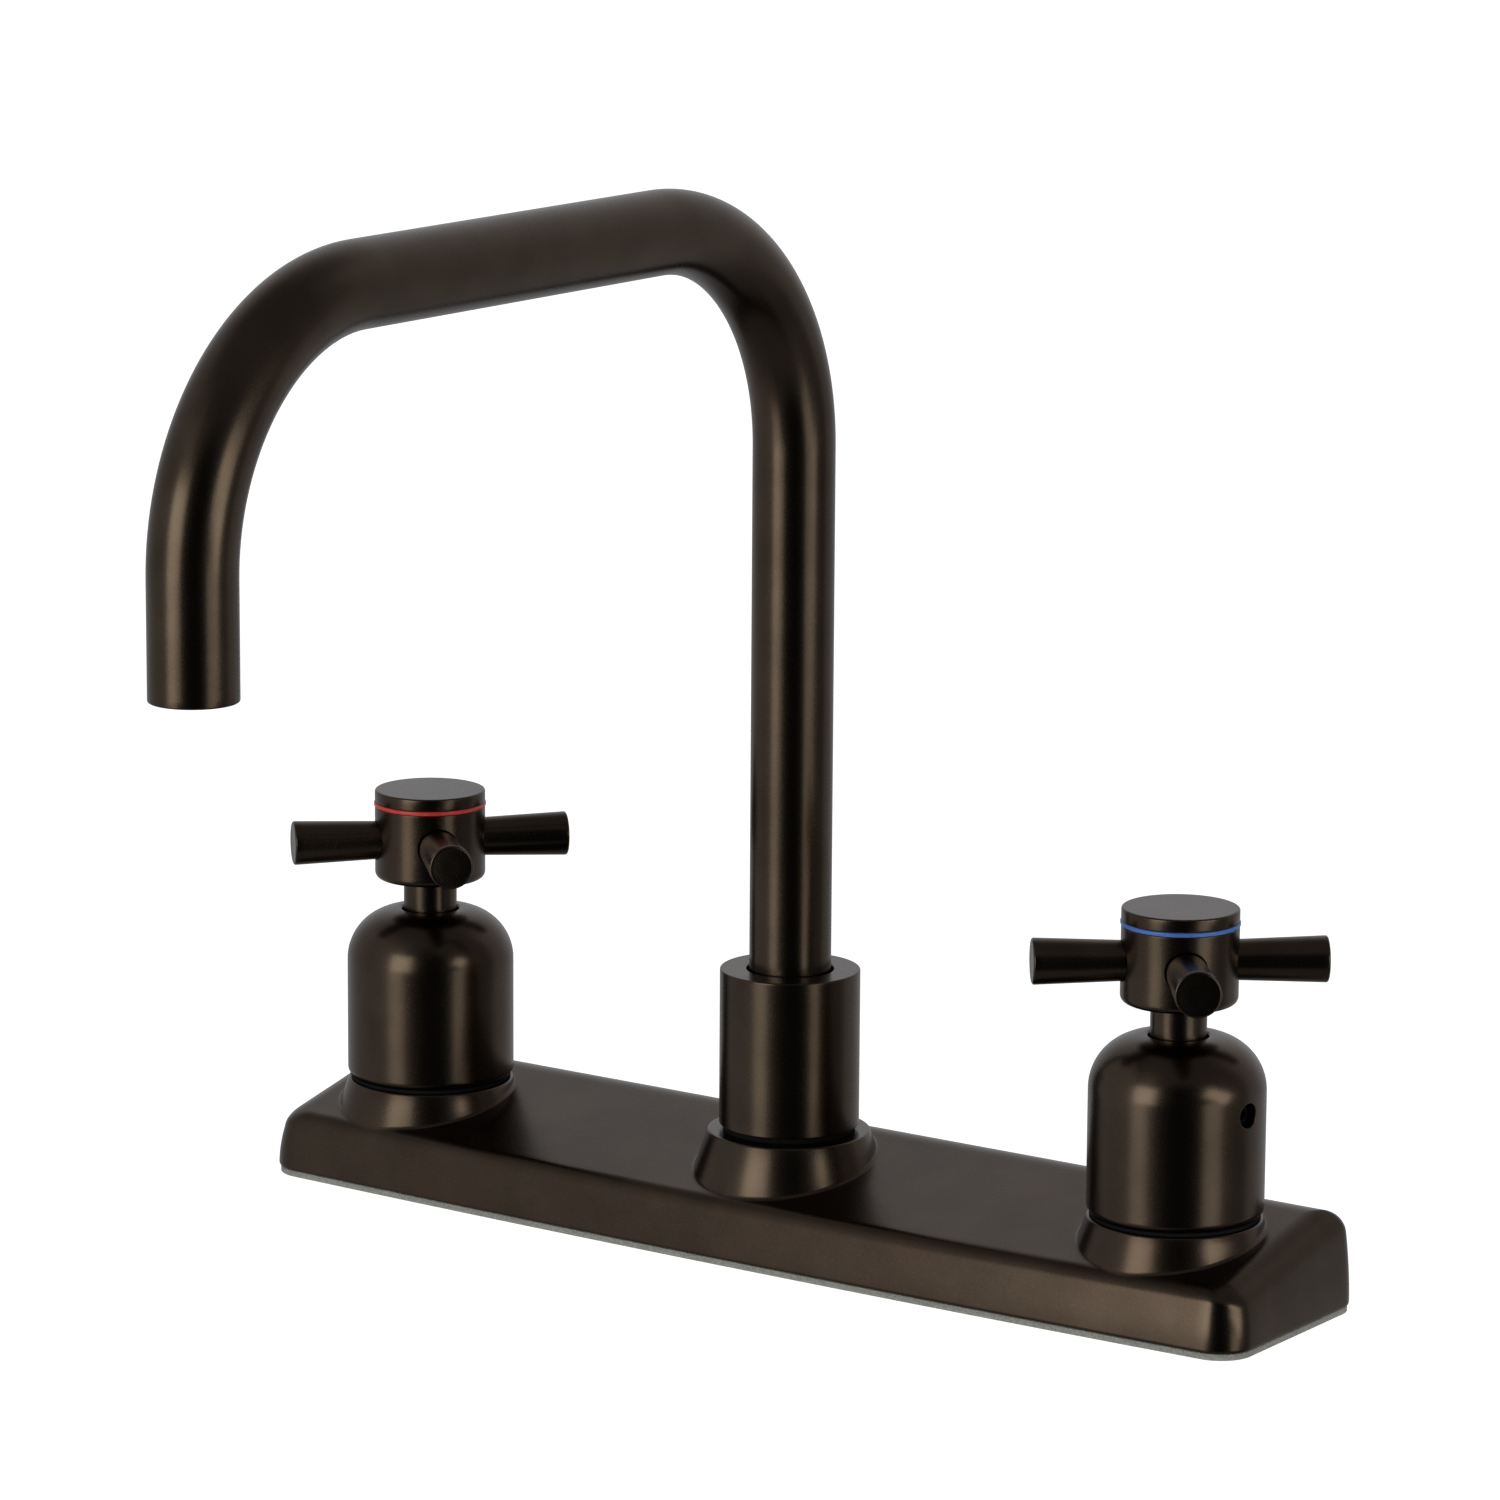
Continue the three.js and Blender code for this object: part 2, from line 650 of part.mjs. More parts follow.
// Side is -1 for the hot valve and 1 for the cold one.
function addValve(label, side, root) {
  const group = new THREE.Group();
  group.position.x = side * valveX;
  root.add(group);
  const name = (part) => `${label}_${part}`;
  const seal = ring(discRadius - sealWidth, discRadius, chamberFloor, fixedDiscZ, innerSides);
  const domeRingRadius = domeRadius - domeRingInset;
  const domeRing = ring(towerRadius + slipGap, domeRingRadius, valveBossTop, domeZ, innerSides);
  const washerZ = -deckThickness - mountingWasherThickness;
  const washer = ring(shankRadius + slipGap, mountingWasherRadius, washerZ, -deckThickness, innerSides);
  piece(name('valve_body'), valveBody(-side), brass, group);
  piece(name('seat_seal'), seal, blackRubber, group);
  piece(name('fixed_disc'), valveDisc(fixedDiscZ, 0), ceramic, group);
  piece(name('cartridge_shell'), cartridgeShell(), brass, group);
  piece(name('cartridge_nut'), cartridgeNut(), brass, group);
  piece(name('dome_ring'), domeRing, blackRubber, group);
  piece(name('mounting_washer'), washer, steel, group);
  piece(name('mounting_nut'), mountingNut(), whitePlastic, group);
  const cover = new THREE.Group();
  cover.rotation.z = -side * setScrewTurn * degree;
  group.add(cover);
  piece(name('dome'), dome(side), bronze, cover);
  piece(name('set_screw'), setScrew(side), steel, cover);
  piece(name('feed_tube'), feedTube(side), copper, root);
}

// ---------------------------------------------------------------- handles

// The stem: its foot drives the moving ceramic disc, and its shaft carries the hub.
function stem() {
  const shaft = turned([
    [0, stemFootZ],
    [discRadius, stemFootZ],
    [discRadius, stemFootZ + stemFlangeHeight],
    [stemRadius, stemFootZ + stemFlangeHeight],
    [stemRadius, stemTopZ],
    [0, stemTopZ],
  ], innerSides);
  const holeZ = recessZ - screwLength - throughCut;
  return cut(shaft, [rod(screwRadius + slipGap, holeZ, stemTopZ + throughCut, smallSides)]);
}

function handleHub() {
  const hub = turned([
    [0, hubZ],
    ...arc(hubRadius - hubFootRadius, hubZ + hubFootRadius, hubFootRadius, -90, 0, edgeSteps),
    [hubRadius, hubTopZ],
    [0, hubTopZ],
  ]);
  const webZ = recessZ - hubWeb;
  const barHole = crossRod(barRootRadius + slipGap, barSeat, hubRadius + throughCut, hubZ + barHeight);
  const barHoles = Array.from({ length: barCount }, (_, i) =>
    barHole.clone().rotateZ((i / barCount) * 2 * Math.PI));
  return cut(hub, [
    rod(stemBore, hubZ - throughCut, webZ, innerSides),
    rod(screwRadius + slipGap, webZ - throughCut, recessZ + throughCut, smallSides),
    rod(hubTopRadius, recessZ, hubTopZ + throughCut, innerSides),
    ...barHoles,
  ]);
}

// One arm of the cross: it grows a little wider towards its flat tip.
function handleBar() {
  const rootZ = hubRadius - barDepth;
  const bar = turned([
    [0, rootZ],
    [barRootRadius, rootZ],
    [barRootRadius, hubRadius],
    [barTipRadius, barReach - barEdge],
    [barTipRadius - barEdge, barReach],
    [0, barReach],
  ], barSides);
  return bar.rotateY(Math.PI / 2).translate(0, 0, hubZ + barHeight);
}

function handleCap() {
  const top = capZ + capThickness;
  const spigotRadius = hubTopRadius - slipGap;
  return turned([
    [0, capSpigotZ],
    [spigotRadius, capSpigotZ],
    [spigotRadius, capZ],
    [hubRadius - capEdge, capZ],
    [hubRadius, capZ + capEdge],
    [hubRadius, top - capEdge],
    [hubRadius - capEdge, top],
    [0, top],
  ]);
}

function handleScrew() {
  const tip = recessZ - screwLength;
  const headTop = recessZ + screwHeadHeight;
  const screw = turned([
    [0, tip],
    [screwRadius, tip],
    [screwRadius, recessZ],
    [screwHeadRadius, recessZ],
    [screwHeadRadius, headTop],
    [0, headTop],
  ], smallSides);
  return cut(screw, [hexagon(screwSocketRadius, headTop - screwSocketDepth, headTop + throughCut)]);
}

function addHandle(label, side, barAngle, ringMaterial, root) {
  const group = new THREE.Group();
  group.position.x = side * valveX;
  root.add(group);
  const name = (part) => `${label}_${part}`;
  const neckSleeve = ring(stemBore, neckRadius, cartridgeTop + neckRoom, hubZ, innerSides);
  const indexRing = ring(hubTopRadius, hubRadius + indexRingProud, hubTopZ, capZ);
  // Shut: the ports of the moving disc lie across those of the fixed one.
  piece(name('moving_disc'), valveDisc(movingDiscZ, 90), ceramic, group);
  piece(name('stem'), stem(), brass, group);
  piece(name('neck_sleeve'), neckSleeve, bronze, group);
  piece(name('index_ring'), indexRing, ringMaterial, group);
  piece(name('handle_cap'), handleCap(), bronze, group);
  piece(name('handle_screw'), handleScrew(), steel, group);
  const cross = new THREE.Group();
  cross.rotation.z = barAngle * degree;
  group.add(cross);
  piece(name('handle_hub'), handleHub(), bronze, cross);
  for (let i = 0; i < barCount; i += 1) {
    const bar = piece(name(`handle_bar_${i + 1}`), handleBar(), bronze, cross);
    bar.rotation.z = (i / barCount) * 2 * Math.PI;
  }
}

// ---------------------------------------------------------------- spout

// Centre line of the spout in the YZ plane: up, round, level, round and down. It has one
// station at each end of a straight run and bendSteps stations round each bend.
class SpoutPath extends THREE.Curve {
  constructor() {
    super();
    const quarter = Math.PI / 2;
    const turns = Array.from({ length: bendSteps + 1 }, (_, i) => (i / bendSteps) * quarter);
    const nearBend = turns.map((turn) => ({
      y: -bendRadius * (1 - Math.cos(turn)),
      z: bendZ + bendRadius * Math.sin(turn),
      lean: turn,
    }));
    const farBend = turns.map((turn) => ({
      y: bendRadius * (1 - Math.sin(turn)) - spoutReach,
      z: bendZ + bendRadius * Math.cos(turn),
      lean: quarter + turn,
    }));
    const foot = { y: 0, z: tubeFootZ, lean: 0 };
    const outlet = { y: -spoutReach, z: outletZ, lean: 2 * quarter };
    this.stations = [foot, ...nearBend, ...farBend, outlet];
    this.steps = this.stations.length - 1;
  }

  stationAt(t) {
    return this.stations[Math.round(t * this.steps)];
  }

  getPointAt(t) {
    const { y, z } = this.stationAt(t);
    return new THREE.Vector3(0, y, z);
  }

  getTangentAt(t) {
    const { lean } = this.stationAt(t);
    return new THREE.Vector3(0, -Math.sin(lean), Math.cos(lean));
  }
}

function spoutTube() {
  const path = new SpoutPath();
  const section = new THREE.Shape().absarc(0, 0, tubeRadius, 0, 2 * Math.PI);
  section.holes.push(new THREE.Path().absarc(0, 0, tubeBore, 0, 2 * Math.PI, true));
  const settings = { steps: path.steps, curveSegments: tubeSides / 2, extrudePath: path };
  return toGeometry(toSolid(new THREE.ExtrudeGeometry(section, settings)));
}

// Turned foot of the spout: a spigot with two grooves, and the flange it hangs by.
function spoutBase() {
  const grooveFloor = baseRadius - ringGroove;
  const half = ringSection + turnGap;
  const grooves = ringHeights.flatMap((height) => [
    [baseRadius, baseZ + height - half],
    [grooveFloor, baseZ + height - half],
    [grooveFloor, baseZ + height + half],
    [baseRadius, baseZ + height + half],
  ]);
  return turned([
    [tubeBore, baseZ],
    [baseRadius, baseZ],
    ...grooves,
    [baseRadius, flangeZ],
    [baseFlangeRadius, flangeZ],
    [baseFlangeRadius, flangeZ + baseFlangeThickness],
    [socketRadius, flangeZ + baseFlangeThickness],
    [socketRadius, tubeFootZ],
    [tubeBore, tubeFootZ],
  ], innerSides);
}

// The middle body: it joins the two feed tubes and holds the spout's foot.
function spoutHub() {
  const body = turned([
    [0, gasketTop],
    [spoutFlangeRadius, gasketTop],
    [spoutFlangeRadius, spoutFlangeTop],
    [spoutTowerRadius, spoutFlangeTop],
    [spoutTowerRadius, lowerWasherZ],
    [0, lowerWasherZ],
  ], innerSides);
  const portEnd = spoutFlangeRadius - feedTubeEntry - seatGap;
  const portRadius = feedTubeRadius + slipGap;
  const port = crossRod(portRadius, portEnd, spoutFlangeRadius + throughCut, feedTubeHeight);
  const drilling = crossRod(feedTubeRadius - feedTubeWall, 0, spoutFlangeRadius, feedTubeHeight);
  return cut(body, [
    rod(hubWaterway, gasketTop + hubFloor, baseZ, innerSides),
    rod(spoutBore, baseZ - seatGap, lowerWasherZ + throughCut, innerSides),
    port,
    drilling,
    port.clone().rotateZ(Math.PI),
    drilling.clone().rotateZ(Math.PI),
  ]);
}

function spoutCollar() {
  return turned([
    [collarInner, collarZ],
    [collarRadius - collarEdge, collarZ],
    [collarRadius, collarZ + collarEdge],
    [collarRadius, collarTopZ - collarEdge],
    [collarRadius - collarEdge, collarTopZ],
    [tubeRadius + collarTubeGap, collarTopZ],
    [tubeRadius + collarTubeGap, lipZ],
    [collarInner, lipZ],
  ]);
}

// Insert in the outlet: a housing, a slotted screen across it, and a rubber washer on top.
const aeratorHousing = () =>
  ring(aeratorRadius - aeratorWall, aeratorRadius, aeratorZ, aeratorZ + aeratorHeight, innerSides);

function aeratorScreen() {
  const radius = aeratorRadius - aeratorWall - slipGap;
  const low = aeratorZ + aeratorScreenHeight;
  const middle = low + aeratorScreenThickness / 2;
  const pitch = (2 * radius) / (aeratorSlots + 1);
  const slots = Array.from({ length: aeratorSlots }, (_, i) => {
    const x = (i - (aeratorSlots - 1) / 2) * pitch;
    const length = 2 * Math.sqrt(radius ** 2 - x ** 2) - 2 * aeratorLip;
    return box(aeratorSlotWidth, length, aeratorScreenThickness + 2 * throughCut, x, 0, middle);
  });
  return cut(rod(radius, low, low + aeratorScreenThickness, innerSides), slots);
}

function aeratorWasher() {
  const low = aeratorZ + aeratorHeight;
  const high = low + aeratorWasherThickness;
  return ring(aeratorRadius - aeratorWasherWidth, aeratorRadius, low, high, innerSides);
}

function addSpout(root) {
  const collarRingRadius = collarRadius - collarRingInset;
  const collarRingBore = spoutTowerRadius + slipGap;
  const collarRing = ring(collarRingBore, collarRingRadius, spoutBossTop, collarZ, innerSides);
  const lowerTop = lowerWasherZ + washerThickness;
  const lowerWasher = ring(baseRadius + slipGap, baseFlangeRadius, lowerWasherZ, lowerTop, innerSides);
  const tubeHole = tubeRadius + collarTubeGap;
  const upperWasher = ring(tubeHole, baseFlangeRadius, upperWasherZ, lipZ, innerSides);
  piece('spout_hub', spoutHub(), brass, root);
  piece('collar_ring', collarRing, blackRubber, root);
  piece('spout_collar', spoutCollar(), bronze, root);
  piece('spout_lower_washer', lowerWasher, whitePlastic, root);
  piece('spout_upper_washer', upperWasher, whitePlastic, root);
  piece('spout_tube', spoutTube(), bronze, root);
  piece('spout_base', spoutBase(), brass, root);
  const ringRadius = baseRadius - ringGroove + ringSection + turnGap;
  ringHeights.forEach((height, i) => {
    piece(`spout_o_ring_${i + 1}`, torus(ringRadius, ringSection, baseZ + height), blackRubber, root);
  });
  const outlet = new THREE.Group();
  outlet.position.y = -spoutReach;
  root.add(outlet);
  piece('aerator_housing', aeratorHousing(), whitePlastic, outlet);
  piece('aerator_screen', aeratorScreen(), steel, outlet);
  piece('aerator_washer', aeratorWasher(), blackRubber, outlet);
}

// ---------------------------------------------------------------- assembly

const faucet = new THREE.Group();
piece('base_gasket', baseGasket(), greyFoam, faucet);
piece('deck_plate', deckPlate(), bronze, faucet);
addValve('hot', -1, faucet);
addValve('cold', 1, faucet);
addHandle('hot', -1, hotBarAngle, redPlastic, faucet);
addHandle('cold', 1, coldBarAngle, bluePlastic, faucet);
addSpout(faucet);

export default faucet;
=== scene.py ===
"""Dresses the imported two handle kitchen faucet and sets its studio, camera and lights.

Metres, +Z up, the user on the -Y side, the origin on the sink deck on the spout's axis.
The fine pieces are numpy surfaces that stand where their CAD nodes do; the pieces inside
the faucet keep their CAD meshes. Every finish is procedural and reads Object coordinates.
"""

from __future__ import annotations

import json
import logging
import math
from collections.abc import Sequence
from dataclasses import dataclass, field
from enum import Enum

import bmesh
import bpy
import numpy as np
from mathutils import Matrix, Quaternion, Vector


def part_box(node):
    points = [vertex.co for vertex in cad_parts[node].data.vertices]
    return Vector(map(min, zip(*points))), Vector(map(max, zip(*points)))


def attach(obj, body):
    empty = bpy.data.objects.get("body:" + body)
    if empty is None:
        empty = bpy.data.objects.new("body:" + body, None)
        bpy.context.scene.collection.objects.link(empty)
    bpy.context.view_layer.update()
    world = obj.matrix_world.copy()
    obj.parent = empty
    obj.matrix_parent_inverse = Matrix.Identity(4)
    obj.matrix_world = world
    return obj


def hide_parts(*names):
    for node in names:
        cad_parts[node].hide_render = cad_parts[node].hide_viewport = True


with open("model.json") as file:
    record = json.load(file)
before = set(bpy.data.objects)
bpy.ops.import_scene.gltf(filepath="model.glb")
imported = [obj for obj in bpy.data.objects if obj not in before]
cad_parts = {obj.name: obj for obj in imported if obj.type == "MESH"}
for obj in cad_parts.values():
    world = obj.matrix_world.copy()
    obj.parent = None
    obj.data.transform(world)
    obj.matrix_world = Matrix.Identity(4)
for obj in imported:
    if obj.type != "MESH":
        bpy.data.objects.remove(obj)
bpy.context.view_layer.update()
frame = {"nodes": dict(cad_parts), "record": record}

MM = 0.001
VALVE_X = 101.6 * MM  # half of the 8 inch valve centres
MERGE_DISTANCE = 1e-6
Array = np.ndarray
Colour = tuple[float, float, float]
Profile = Sequence[tuple[float, float]]

log = logging.getLogger("faucet")


# ---------------------------------------------------------------- shader building


class Value:
    """A node's output that joins in arithmetic: each operator adds one Math node."""

    def __init__(self, graph: Graph, socket: bpy.types.NodeSocket) -> None:
        """Wraps one output socket of a graph."""
        self.graph = graph
        self.socket = socket

    def _math(self, operation: str, first: Value | float, second: Value | float) -> Value:
        """One Math node on two values."""
        return self.graph.value("ShaderNodeMath", {"operation": operation}, {0: first, 1: second})

    def __add__(self, other: Value | float) -> Value:
        """self + other."""
        return self._math("ADD", self, other)

    def __radd__(self, other: float) -> Value:
        """other + self."""
        return self._math("ADD", other, self)

    def __sub__(self, other: Value | float) -> Value:
        """self - other."""
        return self._math("SUBTRACT", self, other)

    def __rsub__(self, other: float) -> Value:
        """other - self."""
        return self._math("SUBTRACT", other, self)

    def __mul__(self, other: Value | float) -> Value:
        """self * other."""
        return self._math("MULTIPLY", self, other)

    def __rmul__(self, other: float) -> Value:
        """other * self."""
        return self._math("MULTIPLY", other, self)

    def __truediv__(self, other: Value | float) -> Value:
        """self / other."""
        return self._math("DIVIDE", self, other)

    def __pow__(self, other: Value | float) -> Value:
        """self to the power of other."""
        return self._math("POWER", self, other)


class Graph:
    """Builds the node tree of one material or of the world."""

    def __init__(self, owner: bpy.types.Material | bpy.types.World) -> None:
        """Empties the owner's tree, so that every node in it is placed here.

        Args:
            owner: the material or the world whose tree it is.
        """
        owner.use_nodes = True
        self.tree = owner.node_tree
        self.tree.nodes.clear()

    def node(self, kind: str, settings: dict | None = None, sockets: dict | None = None) -> bpy.types.Node:
        """Adds a node.

        Args:
            kind: the node's Blender type.
            settings: its own properties; "stops" are a ramp's positions and colours.
            sockets: values or links for its inputs, by name or number.

        Returns:
            The new node.
        """
        made = self.tree.nodes.new(kind)
        for name, setting in (settings or {}).items():
            if name == "stops":
                self._set_stops(made.color_ramp, setting)
            else:
                setattr(made, name, setting)
        for name, given in (sockets or {}).items():
            if isinstance(given, Value):
                self.tree.links.new(given.socket, made.inputs[name])
            else:
                made.inputs[name].default_value = given
        return made

    @staticmethod
    def _set_stops(ramp: bpy.types.ColorRamp, stops: Sequence[tuple[float, Colour]]) -> None:
        """Gives a ramp its stops, from dark end to light end.

        Args:
            ramp: the node's ramp.
            stops: positions and colours.
        """
        while len(ramp.elements) < len(stops):
            ramp.elements.new(0.5)
        for element, (position, colour) in zip(ramp.elements, stops, strict=True):
            element.position = position
            element.color = (*colour, 1.0)

    def value(
        self, kind: str, settings: dict | None = None, sockets: dict | None = None, output: str | int = 0
    ) -> Value:
        """Adds a node and returns one of its outputs, ready for arithmetic."""
        return Value(self, self.node(kind, settings, sockets).outputs[output])

    def place(self) -> Value:
        """The point being shaded, in the object's own metres."""
        return self.value("ShaderNodeTexCoord", output="Object")

    def noise(self, place: Value, size: float, detail: float = 2.0, roughness: float = 0.5) -> Value:
        """Soft random pattern from 0 to 1.

        Args:
            place: where the pattern is read.
            size: size of its blobs, in metres.
            detail: how many finer layers it has.
            roughness: how strong the finer layers are.

        Returns:
            The pattern's value.
        """
        sockets = {"Vector": place, "Scale": 1.0 / size, "Detail": detail, "Roughness": roughness}
        return self.value("ShaderNodeTexNoise", None, sockets, "Fac")

    def ramp(self, fac: Value, low: float, high: float) -> Value:
        """0 below low, 1 above high, and a smooth rise between them."""
        settings = {"interpolation_type": "SMOOTHSTEP"}
        return self.value("ShaderNodeMapRange", settings, {"Value": fac, "From Min": low, "From Max": high})

    def blend(self, fac: Value, first: Colour | Value, second: Colour | Value) -> Value:
        """Colour that goes from first to second with fac.

        Args:
            fac: 0 gives the first colour and 1 the second.
            first: a colour.
            second: the other colour.

        Returns:
            The mixed colour.
        """
        colours = [c if isinstance(c, Value) else (*c, 1.0) for c in (first, second)]
        sockets = {0: fac, 6: colours[0], 7: colours[1]}
        return self.value("ShaderNodeMix", {"data_type": "RGBA"}, sockets, 2)

    def bump(self, height: Value, depth: float) -> Value:
        """Surface normal of a relief whose height runs from 0 to 1 over that depth, in metres."""
        return self.value("ShaderNodeBump", None, {"Height": height, "Distance": depth, "Strength": 1.0})

    def finish(self, shader: bpy.types.Node) -> None:
        """Joins a surface shader to the material's output."""
        self.node("ShaderNodeOutputMaterial", None, {"Surface": Value(self, shader.outputs[0])})


# ---------------------------------------------------------------- finishes


class Slot(Enum):
    """The record's material slots."""

    BRONZE = "oil_rubbed_bronze"
    BRASS = "brass"
    COPPER = "copper"
    STEEL = "stainless_steel"
    WHITE_PLASTIC = "white_plastic"
    FOAM = "grey_foam"
    RUBBER = "black_rubber"
    CERAMIC = "ceramic"
    RED_PLASTIC = "red_plastic"
    BLUE_PLASTIC = "blue_plastic"


@dataclass(frozen=True)
class Finish:
    """A finish with soft patches of two colours and a fine grain.

    Attributes:
        title: the Blender material's name.
        slot: the record's slot it belongs to.
        dark: colour of the deeper patches, linear.
        light: colour of the lighter patches, linear.
        metallic: 1 for bare metal.
        roughness: middle roughness.
        roughness_spread: how far the roughness goes up and down with the grain.
        patch_size: size of the colour patches.
        patch_edge: where the patches' pattern begins and ends to turn light.
        grain_share: how much of that pattern is the grain.
        grain_size: size of the grain.
        grain_depth: height of the grain.
        specular: strength of the reflection of what isn't metal.
        coat: share of clear lacquer.
        coat_roughness: roughness of the lacquer.
    """

    title: str
    slot: Slot
    dark: Colour
    light: Colour
    metallic: float = 0.0
    roughness: float = 0.5
    roughness_spread: float = 0.1
    patch_size: float = 12 * MM
    patch_edge: tuple[float, float] = (0.35, 0.65)
    grain_share: float = 0.45
    grain_size: float = 0.4 * MM
    grain_depth: float = 0.01 * MM
    specular: float = 0.5
    coat: float = 0.0
    coat_roughness: float = 0.1

    def grain(self, graph: Graph, place: Value) -> Value:
        """Fine relief of the surface, 0 to 1."""
        return graph.noise(place, self.grain_size, detail=3.0, roughness=0.6)

    def colour(self, graph: Graph, place: Value, grain: Value) -> Value:
        """Colour in soft patches, with a little of the grain in it.

        Args:
            graph: the material's graph.
            place: where the pattern is read.
            grain: the fine relief.

        Returns:
            The base colour.
        """
        patches = graph.noise(place, self.patch_size, detail=4.0)
        mask = graph.ramp(patches * (1 - self.grain_share) + grain * self.grain_share, *self.patch_edge)
        return graph.blend(mask, self.dark, self.light)

    def material(self) -> bpy.types.Material:
        """Builds the Blender material.

        Returns:
            The material, with its whole node tree.
        """
        made = bpy.data.materials.new(self.title)
        graph = Graph(made)
        place = graph.place()
        grain = self.grain(graph, place)
        shader = graph.node(
            "ShaderNodeBsdfPrincipled",
            None,
            {
                "Base Color": self.colour(graph, place, grain),
                "Roughness": (grain - 0.5) * (2 * self.roughness_spread) + self.roughness,
                "Metallic": self.metallic,
                "Specular IOR Level": self.specular,
                "Coat Weight": self.coat,
                "Coat Roughness": self.coat_roughness,
                "Normal": graph.bump(grain, self.grain_depth),
            },
        )
        graph.finish(shader)
        return made


@dataclass(frozen=True)
class Bronze(Finish):
    """Dark chemical patina over brass: patches, a satin grain and faint rubbed places.

    Attributes:
        rubbed: colour where the patina is worn thin, linear.
        rubbed_size: size of the rubbed places.
        rubbed_share: strength of that colour.
        rubbed_edge: where their pattern begins and ends to show.
    """

    rubbed: Colour = (0.110, 0.070, 0.052)
    rubbed_size: float = 35 * MM
    rubbed_share: float = 0.3
    rubbed_edge: tuple[float, float] = (0.45, 0.75)

    def colour(self, graph: Graph, place: Value, grain: Value) -> Value:
        """Patina patches, with a warmer tone where hands have rubbed it thin.

        Args:
            graph: the material's graph.
            place: where the pattern is read.
            grain: the fine relief.

        Returns:
            The base colour.
        """
        base = super().colour(graph, place, grain)
        wear = graph.ramp(graph.noise(place, self.rubbed_size), *self.rubbed_edge)
        return graph.blend(wear * self.rubbed_share, base, self.rubbed)


@dataclass(frozen=True)
class Machined(Finish):
    """Metal turned on a lathe: the grain is drawn out into rings across the height."""

    stretch: float = 0.04

    def grain(self, graph: Graph, place: Value) -> Value:
        """Tool marks: a noise that is squeezed along Z and drawn out across it.

        Args:
            graph: the material's graph.
            place: where the pattern is read.

        Returns:
            The relief, 0 to 1.
        """
        sockets = {0: place, 1: (self.stretch, self.stretch, 1.0)}
        drawn = graph.value("ShaderNodeVectorMath", {"operation": "MULTIPLY"}, sockets)
        return graph.noise(drawn, self.grain_size, detail=4.0, roughness=0.7)


@dataclass(frozen=True)
class Foam(Finish):
    """Closed cell foam: a pattern of small pits."""

    cell_size: float = 0.6 * MM

    def grain(self, graph: Graph, place: Value) -> Value:
        """Pits of the cells, deepest in the middle of each.

        Args:
            graph: the material's graph.
            place: where the pattern is read.

        Returns:
            The relief, 0 to 1.
        """
        sockets = {"Vector": place, "Scale": 1.0 / self.cell_size}
        return graph.value("ShaderNodeTexVoronoi", None, sockets, "Distance")


BRONZE = Bronze(
    "oil_rubbed_bronze", Slot.BRONZE, (0.071, 0.051, 0.036), (0.094, 0.068, 0.049),
    metallic=1.0, roughness=0.255, roughness_spread=0.06, grain_size=0.3 * MM, grain_depth=0.006 * MM,
)
BRASS = Machined(
    "machined_brass", Slot.BRASS, (0.50, 0.36, 0.14), (0.62, 0.46, 0.20),
    metallic=1.0, roughness=0.32, grain_size=0.5 * MM, grain_depth=0.01 * MM,
)
COPPER = Finish(
    "drawn_copper", Slot.COPPER, (0.45, 0.20, 0.11), (0.60, 0.30, 0.18),
    metallic=1.0, roughness=0.3, patch_size=8 * MM,
)
STEEL = Machined(
    "stainless_steel", Slot.STEEL, (0.42, 0.42, 0.41), (0.52, 0.52, 0.51),
    metallic=1.0, roughness=0.3, grain_size=0.4 * MM, grain_depth=0.008 * MM,
)
BLACK_STEEL = Finish(
    "black_oxide_steel", Slot.STEEL, (0.003, 0.003, 0.004), (0.007, 0.007, 0.007),
    roughness=0.9, specular=0.0,
)
WHITE_PLASTIC = Finish(
    "white_plastic", Slot.WHITE_PLASTIC, (0.74, 0.73, 0.70), (0.80, 0.79, 0.76),
    roughness=0.45, grain_size=0.8 * MM, grain_depth=0.02 * MM,
)
FOAM = Foam(
    "grey_foam", Slot.FOAM, (0.19, 0.19, 0.17), (0.25, 0.25, 0.225),
    roughness=0.9, roughness_spread=0.05, grain_depth=0.15 * MM,
)
RUBBER = Finish(
    "black_rubber", Slot.RUBBER, (0.003, 0.003, 0.003), (0.007, 0.007, 0.007),
    roughness=0.7, specular=0.08, grain_size=0.3 * MM, grain_depth=0.02 * MM,
)
CERAMIC = Finish(
    "lapped_ceramic", Slot.CERAMIC, (0.80, 0.79, 0.76), (0.88, 0.87, 0.84),
    roughness=0.18, roughness_spread=0.04, grain_size=0.15 * MM, grain_depth=0.002 * MM,
)
RED_PLASTIC = Finish(
    "red_index", Slot.RED_PLASTIC, (0.42, 0.020, 0.016), (0.52, 0.035, 0.026),
    roughness=0.35, roughness_spread=0.05, patch_size=4 * MM, grain_size=0.5 * MM,
)
BLUE_PLASTIC = Finish(
    "blue_index", Slot.BLUE_PLASTIC, (0.040, 0.110, 0.36), (0.060, 0.145, 0.44),
    roughness=0.35, roughness_spread=0.05, patch_size=4 * MM, grain_size=0.5 * MM,
)
SLOT_FINISH = {
    finish.slot: finish
    for finish in (
        BRONZE, BRASS, COPPER, STEEL, WHITE_PLASTIC, FOAM, RUBBER, CERAMIC, RED_PLASTIC, BLUE_PLASTIC,
    )
}


# ---------------------------------------------------------------- surfaces


def arc(centre: tuple[float, float], radius: float, start: float, end: float, steps: int) -> Array:
    """Points of an arc, centre + radius * (cos a, sin a), for angles a from start to end in degrees."""
    turn = np.radians(np.linspace(start, end, steps + 1))
    return np.stack([centre[0] + radius * np.cos(turn), centre[1] + radius * np.sin(turn)], axis=1)


